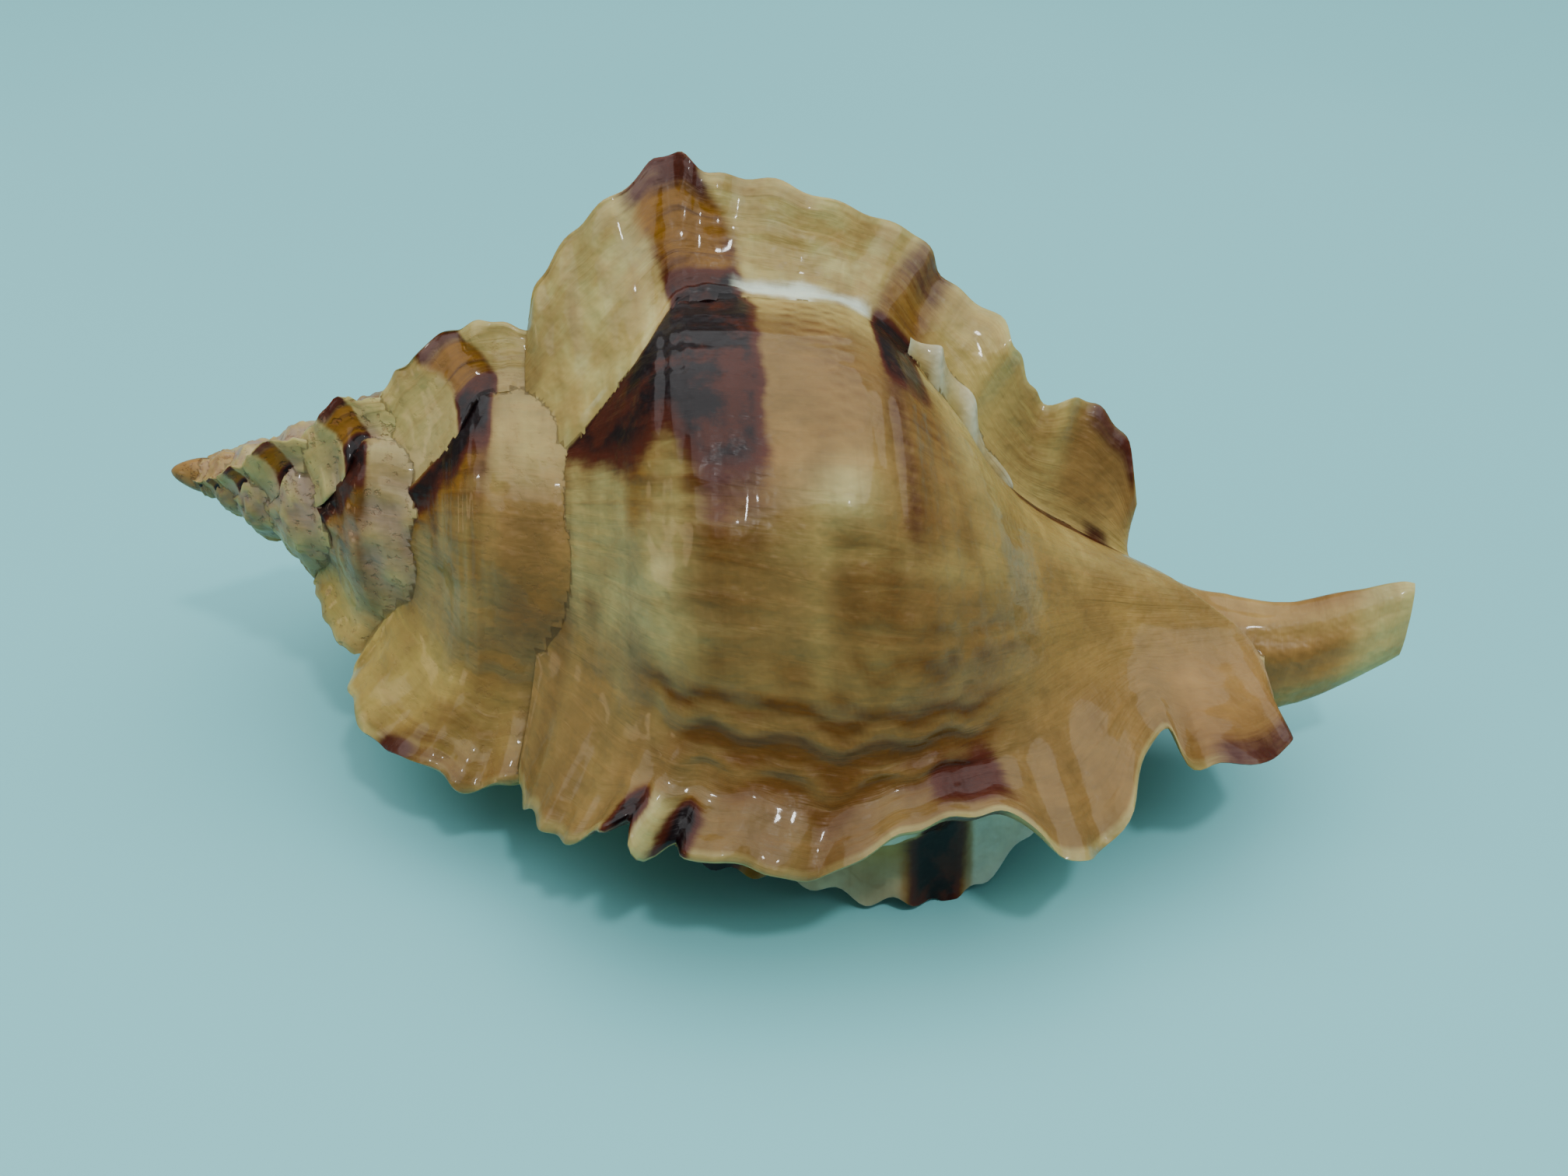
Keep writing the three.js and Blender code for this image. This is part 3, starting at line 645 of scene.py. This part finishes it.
def close_rows(points, paints, centres, extra=()):
    """Closed mesh from rows of points. Rows are closed loops, unless two extra points join their ends."""
    rows, columns = points.shape[:2]
    grid = np.arange(rows * columns).reshape(rows, columns)
    wrap = not len(extra)
    left = grid if wrap else grid[:, :-1]
    right = np.roll(grid, -1, axis=1) if wrap else grid[:, 1:]
    quads = np.stack([left[:-1], left[1:], right[1:], right[:-1]], -1).reshape(-1, 4)
    faces = [tuple(quad) for quad in quads.tolist()]
    first_extra = rows * columns
    cap_start = first_extra + len(extra)
    for cap, row in ((cap_start, grid[0]), (cap_start + 1, grid[-1])):
        loop = row.tolist() + [first_extra + i for i in range(len(extra))]
        for a, b in zip(loop, loop[1:] + loop[:1]):
            faces.append((cap, a, b) if cap == cap_start else (cap, b, a))
    if not wrap:
        for i in range(rows - 1):
            faces.append((int(grid[i, -1]), int(grid[i + 1, -1]), first_extra))
            faces.append((int(grid[i + 1, 0]), int(grid[i, 0]), first_extra + 1))
    vertices = np.vstack([points.reshape(-1, 3), *[np.reshape(p, (1, 3)) for p in (*extra, *centres)]])
    fields = {}
    for name, values in paints.items():
        flat = values.reshape(rows * columns, -1)
        fields[name] = np.vstack([flat] + [flat[:1]] * (len(vertices) - len(flat)))
    return vertices, faces, fields


RIB_TRAVEL = np.concatenate([[0], np.cumsum(np.hypot(*np.diff(RIBS[:, :2], axis=0).T))])
MEAN_RADIUS = 17.0  # of the last whorl
WING_REACH = 9.0  # from a wing's root to its edge
WING_OFFSET = 41  # keeps the growth lines of two wings from repeating


def line_coordinates(wing, rib, before, share, front):
    """Travel along a rib and in the growth direction, which the material's lines follow."""
    size = size_at(-wing * WING_STEP)
    up = np.interp(rib, np.arange(len(RIB_TRAVEL)), RIB_TRAVEL)
    travel = before * math.radians(1) * MEAN_RADIUS + WING_REACH * np.where(front > 0.5, 2 - share, share)
    return np.stack([up * size, travel * size + wing * WING_OFFSET, 0 * up], -1)


def sector_rows(wing, detail, rib_row):
    """Rows of one sector, from the wing before to the front root of its own wing: growth, share, front."""
    columns = len(rib_row)
    foot, tip = WING_FOLD[0, 0], WING_FOLD[-1, 0]
    start = fold_growth(wing + 1, rib_row, np.full(columns, tip)) - WING_STEP
    rows = [(start - SECTOR_OVERLAP, 0, 0)]
    for f in np.linspace(0, 1, max(4, round(WHORL_ROWS * detail)), endpoint=False):
        rows.append((start + (foot - start) * f, 0, 0))
    positions = [0]
    for step, count in enumerate(FOLD_ROWS):
        count = max(1, round(count * detail))
        positions.extend(step + (i + 1) / count for i in range(count))
    for position in positions:
        before, share = smooth(WING_FOLD, position)
        rows.append((np.full(columns, before), max(share, 0), float(position > FOLD_PEAK)))
    if wing > 0:
        rows.append((rows[-1][0] + SECTOR_OVERLAP / smooth(RIBS, rib_row)[:, SPREAD], 0, 1))
    return [np.stack([np.broadcast_to(row[i], columns) for row in rows]) for i in range(3)]


def coil_sector(wing, detail, columns):
    """The stretch of coil that ends in one wing, as a closed solid; the last one has the lip too."""
    last_rib = len(RIBS) - 1 if wing <= LAST_FULL_WING else LAST_EARLY_RIB
    rib_row = np.linspace(0, last_rib, columns)
    before, share, front = sector_rows(wing, detail, rib_row)
    rib = np.repeat(rib_row[None], len(before), 0)
    points = shell_points(wing, rib, before, share, front)
    fields = [*paint(wing, rib, before, share, front), line_coordinates(wing, rib, before, share, front)]
    sunk = np.array([1, SECTOR_SINK, SECTOR_SINK])
    points[0] *= sunk
    if wing == 0:
        parts = np.repeat(np.linspace(0, 1, LIP_ROWS + 1)[1:, None], columns, 1)
        lip_rib = np.repeat(rib_row[None], LIP_ROWS, 0)
        points = np.vstack([points, lip_points(lip_rib, parts)])
        lip_lines = line_coordinates(wing, lip_rib, 0.6 + 5 * parts, 0 * parts, 1 + 0 * parts)
        fields = [np.vstack(pair) for pair in zip(fields, [*paint_lip(lip_rib, parts), lip_lines])]
    else:
        points[-1] *= sunk
    inner_size = size_at(-wing * WING_STEP - WING_STEP / 2)
    spire_end = RIBS[0, ALONG]
    canal_end = RIBS[last_rib, ALONG] - 2
    middle = np.array([(spire_end + canal_end) / 2 * inner_size, 0, 0])
    at = round((columns - 1) * 0.4)
    caps = [points[row, at] + (middle - points[row, at]) * 0.62 for row in (0, -1)]
    ends = [(canal_end * inner_size, 0, 0), ((spire_end + 2) * inner_size, 0, 0)]
    return close_rows(points, dict(zip(("tint", "marks", "streaks", "lines"), fields)), caps, ends)


def frill(rows=70, sides=22):
    """The ruffled white lamella along the front root of the wing on top."""
    f = np.repeat(np.linspace(0.01, 0.99, rows)[:, None], sides, 1)
    turn = np.broadcast_to(around(sides), f.shape)
    up = 0.5 - 0.5 * np.cos(turn)
    size = size_at(-FRILL_WING * WING_STEP)
    rib = FRILL_RIBS[0] + (FRILL_RIBS[1] - FRILL_RIBS[0]) * f
    fold = wave(f**0.8, FRILL_FOLDS, 0.4)
    height = 0.88 + 0.14 * fold + 0.05 * grain(f * 7, 0, 0, 41)
    height = FRILL_HEIGHT * np.sin(np.pi * f**0.75) ** 0.85 * height
    side = FRILL_THICK * np.sin(turn) * (1.25 - 0.5 * up) * np.sin(np.pi * f) ** 0.4
    side = side - FRILL_LEAN * height * up**2 + 0.34 * fold * up * np.sin(np.pi * f)
    ribs = smooth(RIBS, rib)
    radius = ribs[..., RADIUS] * size - FRILL_ROOT + up * (height + FRILL_ROOT)
    along = ribs[..., ALONG] * size + 0.25 * wave(f**0.8, FRILL_FOLDS, np.pi / 2) * up
    growth = -FRILL_WING * WING_STEP - 1.2 + np.degrees(side / radius)
    points = coil_points(along, radius, growth)
    paints = plain_paint(f.shape, CREAM)
    paints["tint"] = lay(paints["tint"], WHITE, 0.05 + 0.45 * up + 0.25 * fold)
    paints["streaks"][..., 0] = np.clip(0.25 - 0.4 * fold, 0, 1) * (1 - up)
    paints["lines"] = np.stack([rib * 3, up * 3, 0 * up], -1)
    return close_rows(points, paints, [points[0].mean(0), points[-1].mean(0)])


def plain_paint(shape, colour, streaks=(0, 0, 0)):
    """Paint fields of one colour without marks."""
    values = {"tint": colour, "marks": 0, "streaks": streaks, "lines": 0}
    for name, value in values.items():
        values[name] = np.broadcast_to(np.asarray(value, float), shape + (3,)).copy()
    return values


def around(sides):
    return np.arange(sides) / sides * 2 * np.pi


def ring(centre, first, second, sides):
    """Points on an ellipse with the two half axes given."""
    turn = around(sides)
    return centre + np.outer(np.cos(turn), first) + np.outer(np.sin(turn), second)


def canal_tube(stations=100, sides=60):
    tilt = math.radians(CANAL_TILT)
    across = np.array([0, math.sin(tilt), math.cos(tilt)])
    through = np.array([0, -across[2], across[1]])
    turn = around(sides)
    loops = []
    centres = []
    for position in np.linspace(0, len(CANAL) - 1, stations + 1):
        along, side, height, half, thin = smooth(CANAL, position)
        centre = np.array([along, side, height])
        loop = ring(centre, across * half, through * thin, sides)
        bulge = 0.14 * grain(along * 0.5, np.cos(turn) * 2.2, np.sin(turn) * 2.2, 31)
        bulge += 0.06 * grain(along * 1.7, np.cos(turn) * 2.5, np.sin(turn) * 2.5, 32)
        bulge += 0.07 * np.cos(turn * 9)
        outward = (loop - centre) / np.linalg.norm(loop - centre, axis=1)[:, None]
        loops.append(loop + outward * (bulge * min(1, thin / 2.4))[:, None])
        centres.append(centre)
    points = np.stack(loops)
    along = points[..., 0]
    turn = np.broadcast_to(turn, along.shape)
    paints = plain_paint(along.shape, CREAM)
    patch = grain(along * 0.25, np.cos(turn) * 1.4, np.sin(turn) * 1.4, 33)
    tint = lay(paints["tint"], PEACH * 1.15, 0.72 + 0.4 * patch)
    paints["tint"] = lay(tint, PALE, above(along, 73.6, 1.3) * 0.85)
    paints["streaks"][..., 0] = np.clip(0.12 + 0.5 * patch, 0, 1) * span(along, 50, 73, 4, 2)
    paints["lines"] = np.stack([turn * 2.6, along, 0 * along], -1)
    return close_rows(points, paints, [centres[0], centres[-1]])


def apex_cap(sides=20):
    loops = [ring(np.array([along, 0, 0]), np.array([0, radius, 0]), np.array([0, 0, radius]), sides)
             for along, radius in smooth(APEX, np.linspace(0, len(APEX) - 1, 16))]
    points = np.stack(loops)
    paints = plain_paint(points.shape[:2], PEACH, streaks=(0.2, 0, 1))
    return close_rows(points, paints, [np.zeros(3), np.array([3.3, 0, 0])])


def hollow_ring(centre, outward, size, shrink=0.0, sides=72):
    """The mouth's oval outline at one place in the hollow."""
    long = np.array([-1.0, 0, 0]) + outward * MOUTH_SKEW
    long /= np.linalg.norm(long)
    wide = outward - long * (outward @ long)
    wide /= np.linalg.norm(wide)
    half_length = MOUTH_HALF_LENGTH * size - shrink
    half_width = MOUTH_HALF_WIDTH * size - shrink
    return ring(centre, long * half_length, wide * half_width, sides)


def hollow_cut():
    """The room inside the last whorl and its way out through the mouth."""
    loops = []
    centres = []
    for growth, share in HOLLOW:
        size = size_at(growth)
        centre = coil_points(MOUTH_ALONG * size, MOUTH_RADIUS * size, growth)
        centres.append(centre)
        loops.append(hollow_ring(centre, coil_points(0, 1, growth), size * share))
    for side, height, widen in MOUTH_WAY:
        centre = np.array([MOUTH_ALONG, side, height])
        centres.append(centre)
        loops.append(hollow_ring(centre, np.array([0.0, -1, 0]), widen))
    positions = np.linspace(0, len(loops) - 1, 6 * (len(loops) - 1) + 1)
    points = smooth(np.stack(loops), positions)
    depth = np.repeat(positions[:, None], points.shape[1], 1)
    turn = np.broadcast_to(around(points.shape[1]), depth.shape)
    paints = plain_paint(depth.shape, TAN)
    tint = lay(paints["tint"], FAN, span(depth, 5, 8.6, 1, 1.2))
    paints["tint"] = lay(tint, PALE, above(depth, 9.2, 0.6))
    paints["streaks"][..., 0] = 0.75 * span(depth, 4, 8.6, 1, 0.8)
    paints["marks"][..., 1] = 0.42 * span(depth, 5, 8.2, 1, 0.8)
    paints["lines"] = np.stack([turn * 8, depth * 3, 0 * depth], -1)
    return close_rows(points, paints, [centres[0], centres[-1]])


def placed(points):
    """From shell coordinates in mm to the row frame in metres: the apex is the CAD shell's lowest X."""
    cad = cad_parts["shell"].data.vertices
    apex = np.array(min((vertex.co for vertex in cad), key=lambda co: co.x))
    roll = Matrix.Rotation(math.radians(REST_ROLL), 3, "X")
    drop = Matrix.Rotation(math.radians(AXIS_DROP), 3, "Y")
    return points @ np.array(roll @ drop).T / 1000 + apex


def new_object(name, vertices, faces):
    mesh = bpy.data.meshes.new(name)
    mesh.from_pydata(vertices.tolist(), [], faces)
    mesh.validate()
    piece = bpy.data.objects.new(name, mesh)
    bpy.context.scene.collection.objects.link(piece)
    return piece


def signed_volume(vertices, faces):
    """Six times the volume, negative when the faces look inward."""
    total = 0.0
    for size in (3, 4):
        chosen = np.array([face for face in faces if len(face) == size])
        if len(chosen):
            for i in range(1, size - 1):
                a, b, c = (vertices[chosen[:, j]] for j in (0, i, i + 1))
                total += np.einsum("ij,ij->i", a, np.cross(b, c)).sum()
    return total


def outward_solid(name, solid):
    vertices, faces = solid[:2]
    if signed_volume(vertices, faces) < 0:
        faces = [tuple(reversed(face)) for face in faces]
    return new_object(name, placed(vertices), faces)


def combine(base, other, operation):
    """Boolean of two closed meshes; the second object is used up."""
    modifier = base.modifiers.new("join", "BOOLEAN")
    modifier.operation = operation
    modifier.solver = "MANIFOLD"
    modifier.object = other
    graph = bpy.context.evaluated_depsgraph_get()
    mesh = bpy.data.meshes.new_from_object(base.evaluated_get(graph))
    base.modifiers.clear()
    base.data = mesh
    bpy.data.objects.remove(other)


def largest_part(piece):
    """Keeps the outer skin and drops the pockets shut between whorls."""
    mesh = piece.data
    edges = np.empty(len(mesh.edges) * 2, np.int64)
    mesh.edges.foreach_get("vertices", edges)
    edges = edges.reshape(-1, 2)
    label = np.arange(len(mesh.vertices))
    while True:
        low = np.minimum(label[edges[:, 0]], label[edges[:, 1]])
        before = label.copy()
        np.minimum.at(label, edges[:, 0], low)
        np.minimum.at(label, edges[:, 1], low)
        label = label[label]
        if (label == before).all():
            break
    names, counts = np.unique(label, return_counts=True)
    keep = label == names[counts.argmax()]
    index = np.cumsum(keep) - 1
    points = np.empty(len(mesh.vertices) * 3)
    mesh.vertices.foreach_get("co", points)
    faces = [[int(index[v]) for v in face.vertices] for face in mesh.polygons if keep[face.vertices[0]]]
    name = piece.name
    bpy.data.objects.remove(piece)
    return new_object(name, points.reshape(-1, 3)[keep], faces)


def carry_fields(piece, solids):
    """Gives every vertex the paint of the nearest point of the solids it was joined from."""
    points = np.vstack([placed(solid[0]) for solid in solids])
    tree = KDTree(len(points))
    for i, point in enumerate(points.tolist()):
        tree.insert(point, i)
    tree.balance()
    nearest = np.array([tree.find(vertex.co)[1] for vertex in piece.data.vertices])
    for name in solids[0][2]:
        values = np.vstack([solid[2][name] for solid in solids])[nearest]
        kind = "FLOAT_COLOR" if name == "tint" else "FLOAT_VECTOR"
        attribute = piece.data.attributes.new(name, kind, "POINT")
        if name == "tint":
            values = np.hstack([values, np.ones((len(values), 1))])
            attribute.data.foreach_set("color", values.ravel())
        else:
            attribute.data.foreach_set("vector", values.ravel())


def finish_mesh(piece, angle):
    piece.data.polygons.foreach_set("use_smooth", [True] * len(piece.data.polygons))
    piece.data.set_sharp_from_angle(angle=math.radians(angle))


def shell_piece():
    solids = [apex_cap()]
    small_ones = [SMALL_DETAIL] * (LAST_SMALL_WING + 1 - len(DETAIL))
    tiny_ones = [TINY_DETAIL] * (WING_COUNT - 1 - LAST_SMALL_WING)
    for wing, (detail, columns) in reversed(list(enumerate(DETAIL + small_ones + tiny_ones))):
        solids.append(coil_sector(wing, detail, columns))
    solids.append(frill())
    piece = outward_solid("murex_shell", solids[0])
    for solid in solids[1:]:
        combine(piece, outward_solid("part", solid), "UNION")
    hollow = hollow_cut()
    combine(piece, outward_solid("hollow", hollow), "DIFFERENCE")
    canal = canal_tube()
    combine(piece, outward_solid("canal", canal), "UNION")
    piece = largest_part(piece)
    carry_fields(piece, solids + [hollow, canal])
    for vertex in piece.data.vertices:  # nothing reaches below the ground
        vertex.co.z = max(vertex.co.z, 0)
    finish_mesh(piece, 62)
    return piece


def operculum_piece(rings=40, sides=120):
    """The horny door: an oval plate with growth rings round a point near its end."""
    side, height, widen = OPERCULUM_PLACE
    outward = np.array([0.0, -1, 0])
    nucleus = np.array([MOUTH_ALONG + NUCLEUS_SHIFT[0], side + NUCLEUS_SHIFT[1], height])

    def level(drop, shrink):
        centre = np.array([MOUTH_ALONG, side, height - drop])
        return hollow_ring(centre, outward, widen, OPERCULUM_GAP + shrink, sides)

    top, under = level(0, 0.7), level(OPERCULUM_THICK, 0.9)
    steps = np.linspace(0.04, 1, rings)
    loops = [nucleus + (top - nucleus) * f + np.array([0, 0, -0.25 * (1 - f**2)]) for f in steps]
    loops += [level(0.3, 0.2), level(0.7, 0.2)]
    low_nucleus = nucleus - np.array([0, 0, OPERCULUM_THICK])
    for f in steps[::-1]:
        rise = 0.35 * (1 - f**2) + 0.05 * math.sin(f * 60) * min(1, (1 - f) * 8)
        loops.append(low_nucleus + (under - low_nucleus) * f + np.array([0, 0, rise]))
    points = np.stack(loops)
    turn = np.broadcast_to(around(sides), points.shape[:2])
    travel = np.repeat(np.concatenate([steps, [1.02, 1.04], steps[::-1]])[:, None], sides, 1)
    paints = {"lines": np.stack([travel * 10, np.cos(turn), np.sin(turn)], -1)}
    solid = close_rows(points, paints, [loops[0].mean(0), loops[-1].mean(0)])
    piece = outward_solid("murex_operculum", solid)
    attribute = piece.data.attributes.new("lines", "FLOAT_VECTOR", "POINT")
    attribute.data.foreach_set("vector", solid[2]["lines"].ravel())
    finish_mesh(piece, 50)
    return piece


# Materials


class Nodes:
    """Short names for the nodes of one material."""

    def __init__(self, name):
        self.material = bpy.data.materials.new(name)
        self.material.use_nodes = True
        self.tree = self.material.node_tree
        self.shader = self.tree.nodes["Principled BSDF"]

    def put(self, socket, value):
        if isinstance(value, bpy.types.NodeSocket):
            self.tree.links.new(value, socket)
        elif isinstance(value, np.ndarray):
            socket.default_value = (*value.tolist(), 1)
        else:
            socket.default_value = value

    def node(self, kind, values=(), **settings):
        """A new shader node with its first sockets fed in order."""
        node = self.tree.nodes.new("ShaderNode" + kind)
        for name, value in settings.items():
            setattr(node, name, value)
        for socket, value in zip(node.inputs, values):
            self.put(socket, value)
        return node

    def field(self, name):
        return self.node("Attribute", attribute_name=name).outputs

    def parts(self, vector):
        return self.node("SeparateXYZ", (vector,)).outputs

    def math(self, operation, a, b=0.0, clamp=False):
        return self.node("Math", (a, b), operation=operation, use_clamp=clamp).outputs[0]

    def times(self, a, b, clamp=False):
        return self.math("MULTIPLY", a, b, clamp)

    def add_scaled(self, base, value, amount):
        return self.node("Math", (value, amount, base), operation="MULTIPLY_ADD").outputs[0]

    def vector(self, x, y, z):
        return self.node("CombineXYZ", (x, y, z)).outputs[0]

    def mix(self, amount, a, b, blend="MIX"):
        node = self.node("Mix", (amount,), data_type="RGBA", blend_type=blend, clamp_factor=True)
        self.put(node.inputs[6], a)
        self.put(node.inputs[7], b)
        return node.outputs[2]

    def noise(self, vector, scale, detail=3.0, roughness=0.55, distortion=0.0):
        node = self.node("TexNoise")
        self.put(node.inputs["Vector"], vector)
        settings = {"Scale": scale, "Detail": detail, "Roughness": roughness, "Distortion": distortion}
        for name, value in settings.items():
            node.inputs[name].default_value = value
        return node.outputs[0]

    def stretched_noise(self, up, travel, up_scale, travel_scale, shift, detail, roughness, distortion):
        """Noise over the growth coordinates, drawn out along one of them."""
        x = self.times(up, up_scale)
        y = self.times(travel, travel_scale)
        return self.noise(self.vector(x, y, shift), 1.0, detail, roughness, distortion)

    def ramp(self, value, low, high, out_low=0.0, out_high=1.0):
        values = (value, low, high, out_low, out_high)
        return self.node("MapRange", values, interpolation_type="SMOOTHSTEP").outputs[0]

    def place(self):
        return self.node("TexCoord").outputs["Object"]

    def bump(self, height, distance, strength=1.0):
        node = self.node("Bump")
        node.inputs["Distance"].default_value = distance
        node.inputs["Strength"].default_value = strength
        self.put(node.inputs["Height"], height)
        self.put(self.shader.inputs["Normal"], node.outputs[0])

    def surface(self, **values):
        for name, value in values.items():
            self.put(self.shader.inputs[name.replace("_", " ")], value)


def shell_material():
    n = Nodes("shell_glaze")
    up, travel, _ = n.parts(n.field("lines")[1])
    dark, amber, mauve = n.parts(n.field("marks")[1])
    ochre, white, worn = n.parts(n.field("streaks")[1])
    place = n.place()
    fine = n.stretched_noise(up, travel, 0.3, 1.9, 0.0, 3, 0.55, 0.7)
    broad = n.stretched_noise(up, travel, 0.16, 0.95, 0.0, 3, 0.6, 0.6)
    spiral = n.stretched_noise(up, travel, 1.15, 0.12, 3.0, 2, 0.5, 0.7)
    blot = n.noise(place, 420.0, 4, 0.6)
    speck = n.noise(place, 1900.0, 3, 0.6)
    cloud = n.noise(place, 190.0, 3, 0.55)

    def broken(field, blot_part, line_part):
        """The field with its border shifted by blotches and by growth lines."""
        shifted = n.add_scaled(n.add_scaled(field, blot, blot_part), fine, line_part)
        return n.math("SUBTRACT", shifted, (blot_part + line_part) / 2)

    colour = n.field("tint")[0]
    colour = n.mix(n.ramp(broad, 0.42, 0.7, 0.0, 0.3), colour, PEACH)
    colour = n.mix(n.ramp(spiral, 0.46, 0.76, 0.0, 0.2), colour, TAN)
    colour = n.mix(n.ramp(cloud, 0.44, 0.66, 0.0, 0.38), colour, TAN)
    lines = n.times(n.ramp(fine, 0.58, 0.72, 0.0, 0.22), n.ramp(cloud, 0.5, 0.64), True)
    colour = n.mix(lines, colour, OCHRE)
    ochre = n.times(ochre, n.ramp(broad, 0.25, 0.6, 0.55, 1.0), True)
    ochre = n.times(ochre, n.ramp(fine, 0.3, 0.6, 0.85, 0.97), True)
    colour = n.mix(ochre, colour, OCHRE)
    amber_shade = n.mix(n.ramp(broad, 0.45, 0.68), AMBER, OCHRE)
    amber_shade = n.mix(n.ramp(blot, 0.5, 0.68, 0.0, 0.4), amber_shade, RED_BROWN)
    colour = n.mix(n.ramp(broken(amber, 0.55, 0.22), 0.15, 0.85), colour, amber_shade)
    mauve_shade = n.mix(n.ramp(blot, 0.4, 0.6), MAUVE, RED_BROWN)
    colour = n.mix(n.ramp(broken(mauve, 0.5, 0.35), 0.25, 0.85), colour, mauve_shade)
    pigment = broken(dark, 0.6, 0.25)
    colour = n.mix(n.ramp(pigment, 0.08, 0.5), colour, RED_BROWN * 1.35)
    black = n.mix(n.ramp(n.add_scaled(blot, cloud, 0.8), 0.84, 1.04), NEAR_BLACK, RED_BROWN)
    colour = n.mix(n.ramp(pigment, 0.45, 0.9), colour, black)
    colour = n.mix(n.ramp(broken(white, 0.6, 0.3), 0.3, 0.8), colour, WHITE)
    pits = n.times(worn, n.ramp(speck, 0.56, 0.7), True)
    colour = n.mix(n.times(pits, 0.35), colour, MAUVE * 1.6)
    shade = n.ramp(blot, 0.25, 0.75, 0.84, 1.12)
    colour = n.mix(1.0, colour, n.vector(shade, shade, shade), "MULTIPLY")

    rough = n.add_scaled(n.ramp(speck, 0.3, 0.7, 0.3, 0.44), worn, 0.25)
    height = n.times(fine, 0.16)
    for layer, amount in ((broad, 0.5), (n.noise(place, 780.0, 2, 0.6), 1.3), (cloud, 1.6), (pits, -0.5)):
        height = n.add_scaled(height, layer, amount)
    n.bump(height, 0.00016)
    n.surface(Base_Color=colour, Roughness=rough, IOR=1.5, Specular_IOR_Level=0.12)
    n.surface(Coat_Weight=0.28, Coat_Roughness=0.07)
    n.surface(Subsurface_Weight=0.22, Subsurface_Scale=0.0012, Subsurface_Radius=(1.0, 0.62, 0.32))
    return n.material


def operculum_material():
    n = Nodes("operculum_horn")
    travel, cosine, sine = n.parts(n.field("lines")[1])
    place = n.place()
    rings = n.noise(n.vector(n.times(travel, 3.0), cosine, sine), 1.0, 4, 0.6, 0.2)
    fibre = n.noise(place, 1500.0, 4, 0.65)
    colour = n.mix(n.ramp(rings, 0.35, 0.62), HORN_DARK, HORN)
    colour = n.mix(n.ramp(fibre, 0.5, 0.75, 0.0, 0.4), colour, RED_BROWN)
    n.bump(n.add_scaled(rings, fibre, 0.35), 0.0002)
    n.surface(Base_Color=colour, Roughness=n.ramp(fibre, 0.3, 0.7, 0.35, 0.6))
    n.surface(Coat_Weight=0.15, Coat_Roughness=0.3)
    return n.material


def floor_material():
    n = Nodes("pale_floor")
    cloud = n.noise(n.place(), 9.0, 2, 0.4)
    n.surface(Base_Color=n.mix(n.ramp(cloud, 0.3, 0.7), FLOOR_DARK, FLOOR_LIGHT), Roughness=0.6)
    return n.material


# Stage: a pale floor, a large soft lamp overhead, a weak warm one low at the left, and a small one
# in front for the glints. Offsets are from the middle of the object, in metres.
CENTRE = (cad_low + cad_high) / 2
CAMERA_OFFSET = Vector((0.00099, -0.07685, 0.05102))
CAMERA_HEADING = -0.87  # degrees, like the two below
CAMERA_DOWN = 35.83
CAMERA_ROLL = 2.85
CAMERA_LENS = 36.39
FLOOR_HALF = 3.0
# Name, offset, width and depth, power, colour, spread in degrees.
LAMPS = [
    ("overhead", (0.0, 0.05, 0.6), (1.3, 1.0), 9.2, (0.94, 0.98, 1.0), 180),
    ("low_warm", (-0.4, -0.14, 0.1), (0.12, 0.08), 0.009, (1.0, 0.7, 0.44), 40),
    ("front_glint", (0.1, -0.2, 0.42), (0.045, 0.03), 0.7, (0.96, 0.99, 1.0), 180),
]
SKY_COLOUR = (0.8, 0.94, 0.96, 1)
SKY_STRENGTH = 0.24


def set_camera():
    heading, down, roll = [math.radians(v) for v in (CAMERA_HEADING, CAMERA_DOWN, CAMERA_ROLL)]
    ahead = math.cos(down)
    forward = Vector((math.sin(heading) * ahead, math.cos(heading) * ahead, -math.sin(down)))
    level = forward.cross(Vector((0, 0, 1))).normalized()
    rise = level.cross(forward)
    right = level * math.cos(roll) + rise * math.sin(roll)
    top = rise * math.cos(roll) - level * math.sin(roll)
    camera = bpy.data.objects.new("camera", bpy.data.cameras.new("camera"))
    turn = Matrix((right, top, -forward)).transposed().to_4x4()
    camera.matrix_world = Matrix.Translation(CENTRE + CAMERA_OFFSET) @ turn
    camera.data.lens = CAMERA_LENS
    camera.data.sensor_width = 36
    camera.data.clip_start = 0.005
    bpy.context.scene.collection.objects.link(camera)
    bpy.context.scene.camera = camera


def set_lamp(name, offset, sizes, power, colour, spread):
    data = bpy.data.lights.new(name, "AREA")
    data.shape = "RECTANGLE"
    data.size, data.size_y = sizes
    data.energy = power
    data.color = colour
    data.spread = math.radians(spread)
    lamp = bpy.data.objects.new(name, data)
    lamp.location = CENTRE + Vector(offset)
    lamp.rotation_euler = (-Vector(offset)).to_track_quat("-Z", "Y").to_euler()
    bpy.context.scene.collection.objects.link(lamp)


def set_stage():
    corners = np.array([[-1, -1, 0], [1, -1, 0], [1, 1, 0], [-1, 1, 0]]) * FLOOR_HALF
    floor = new_object("floor", corners, [(0, 1, 2, 3)])
    floor.data.materials.append(floor_material())
    for lamp in LAMPS:
        set_lamp(*lamp)
    world = bpy.data.worlds.new("studio")
    world.use_nodes = True
    sky = world.node_tree.nodes["Background"]
    sky.inputs[0].default_value = SKY_COLOUR
    sky.inputs[1].default_value = SKY_STRENGTH
    bpy.context.scene.world = world


shell = shell_piece()
shell.data.materials.append(shell_material())
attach(shell, "root")
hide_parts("shell")

operculum = operculum_piece()
operculum.data.materials.append(operculum_material())
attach(operculum, "root")
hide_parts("operculum")

set_camera()
set_stage()
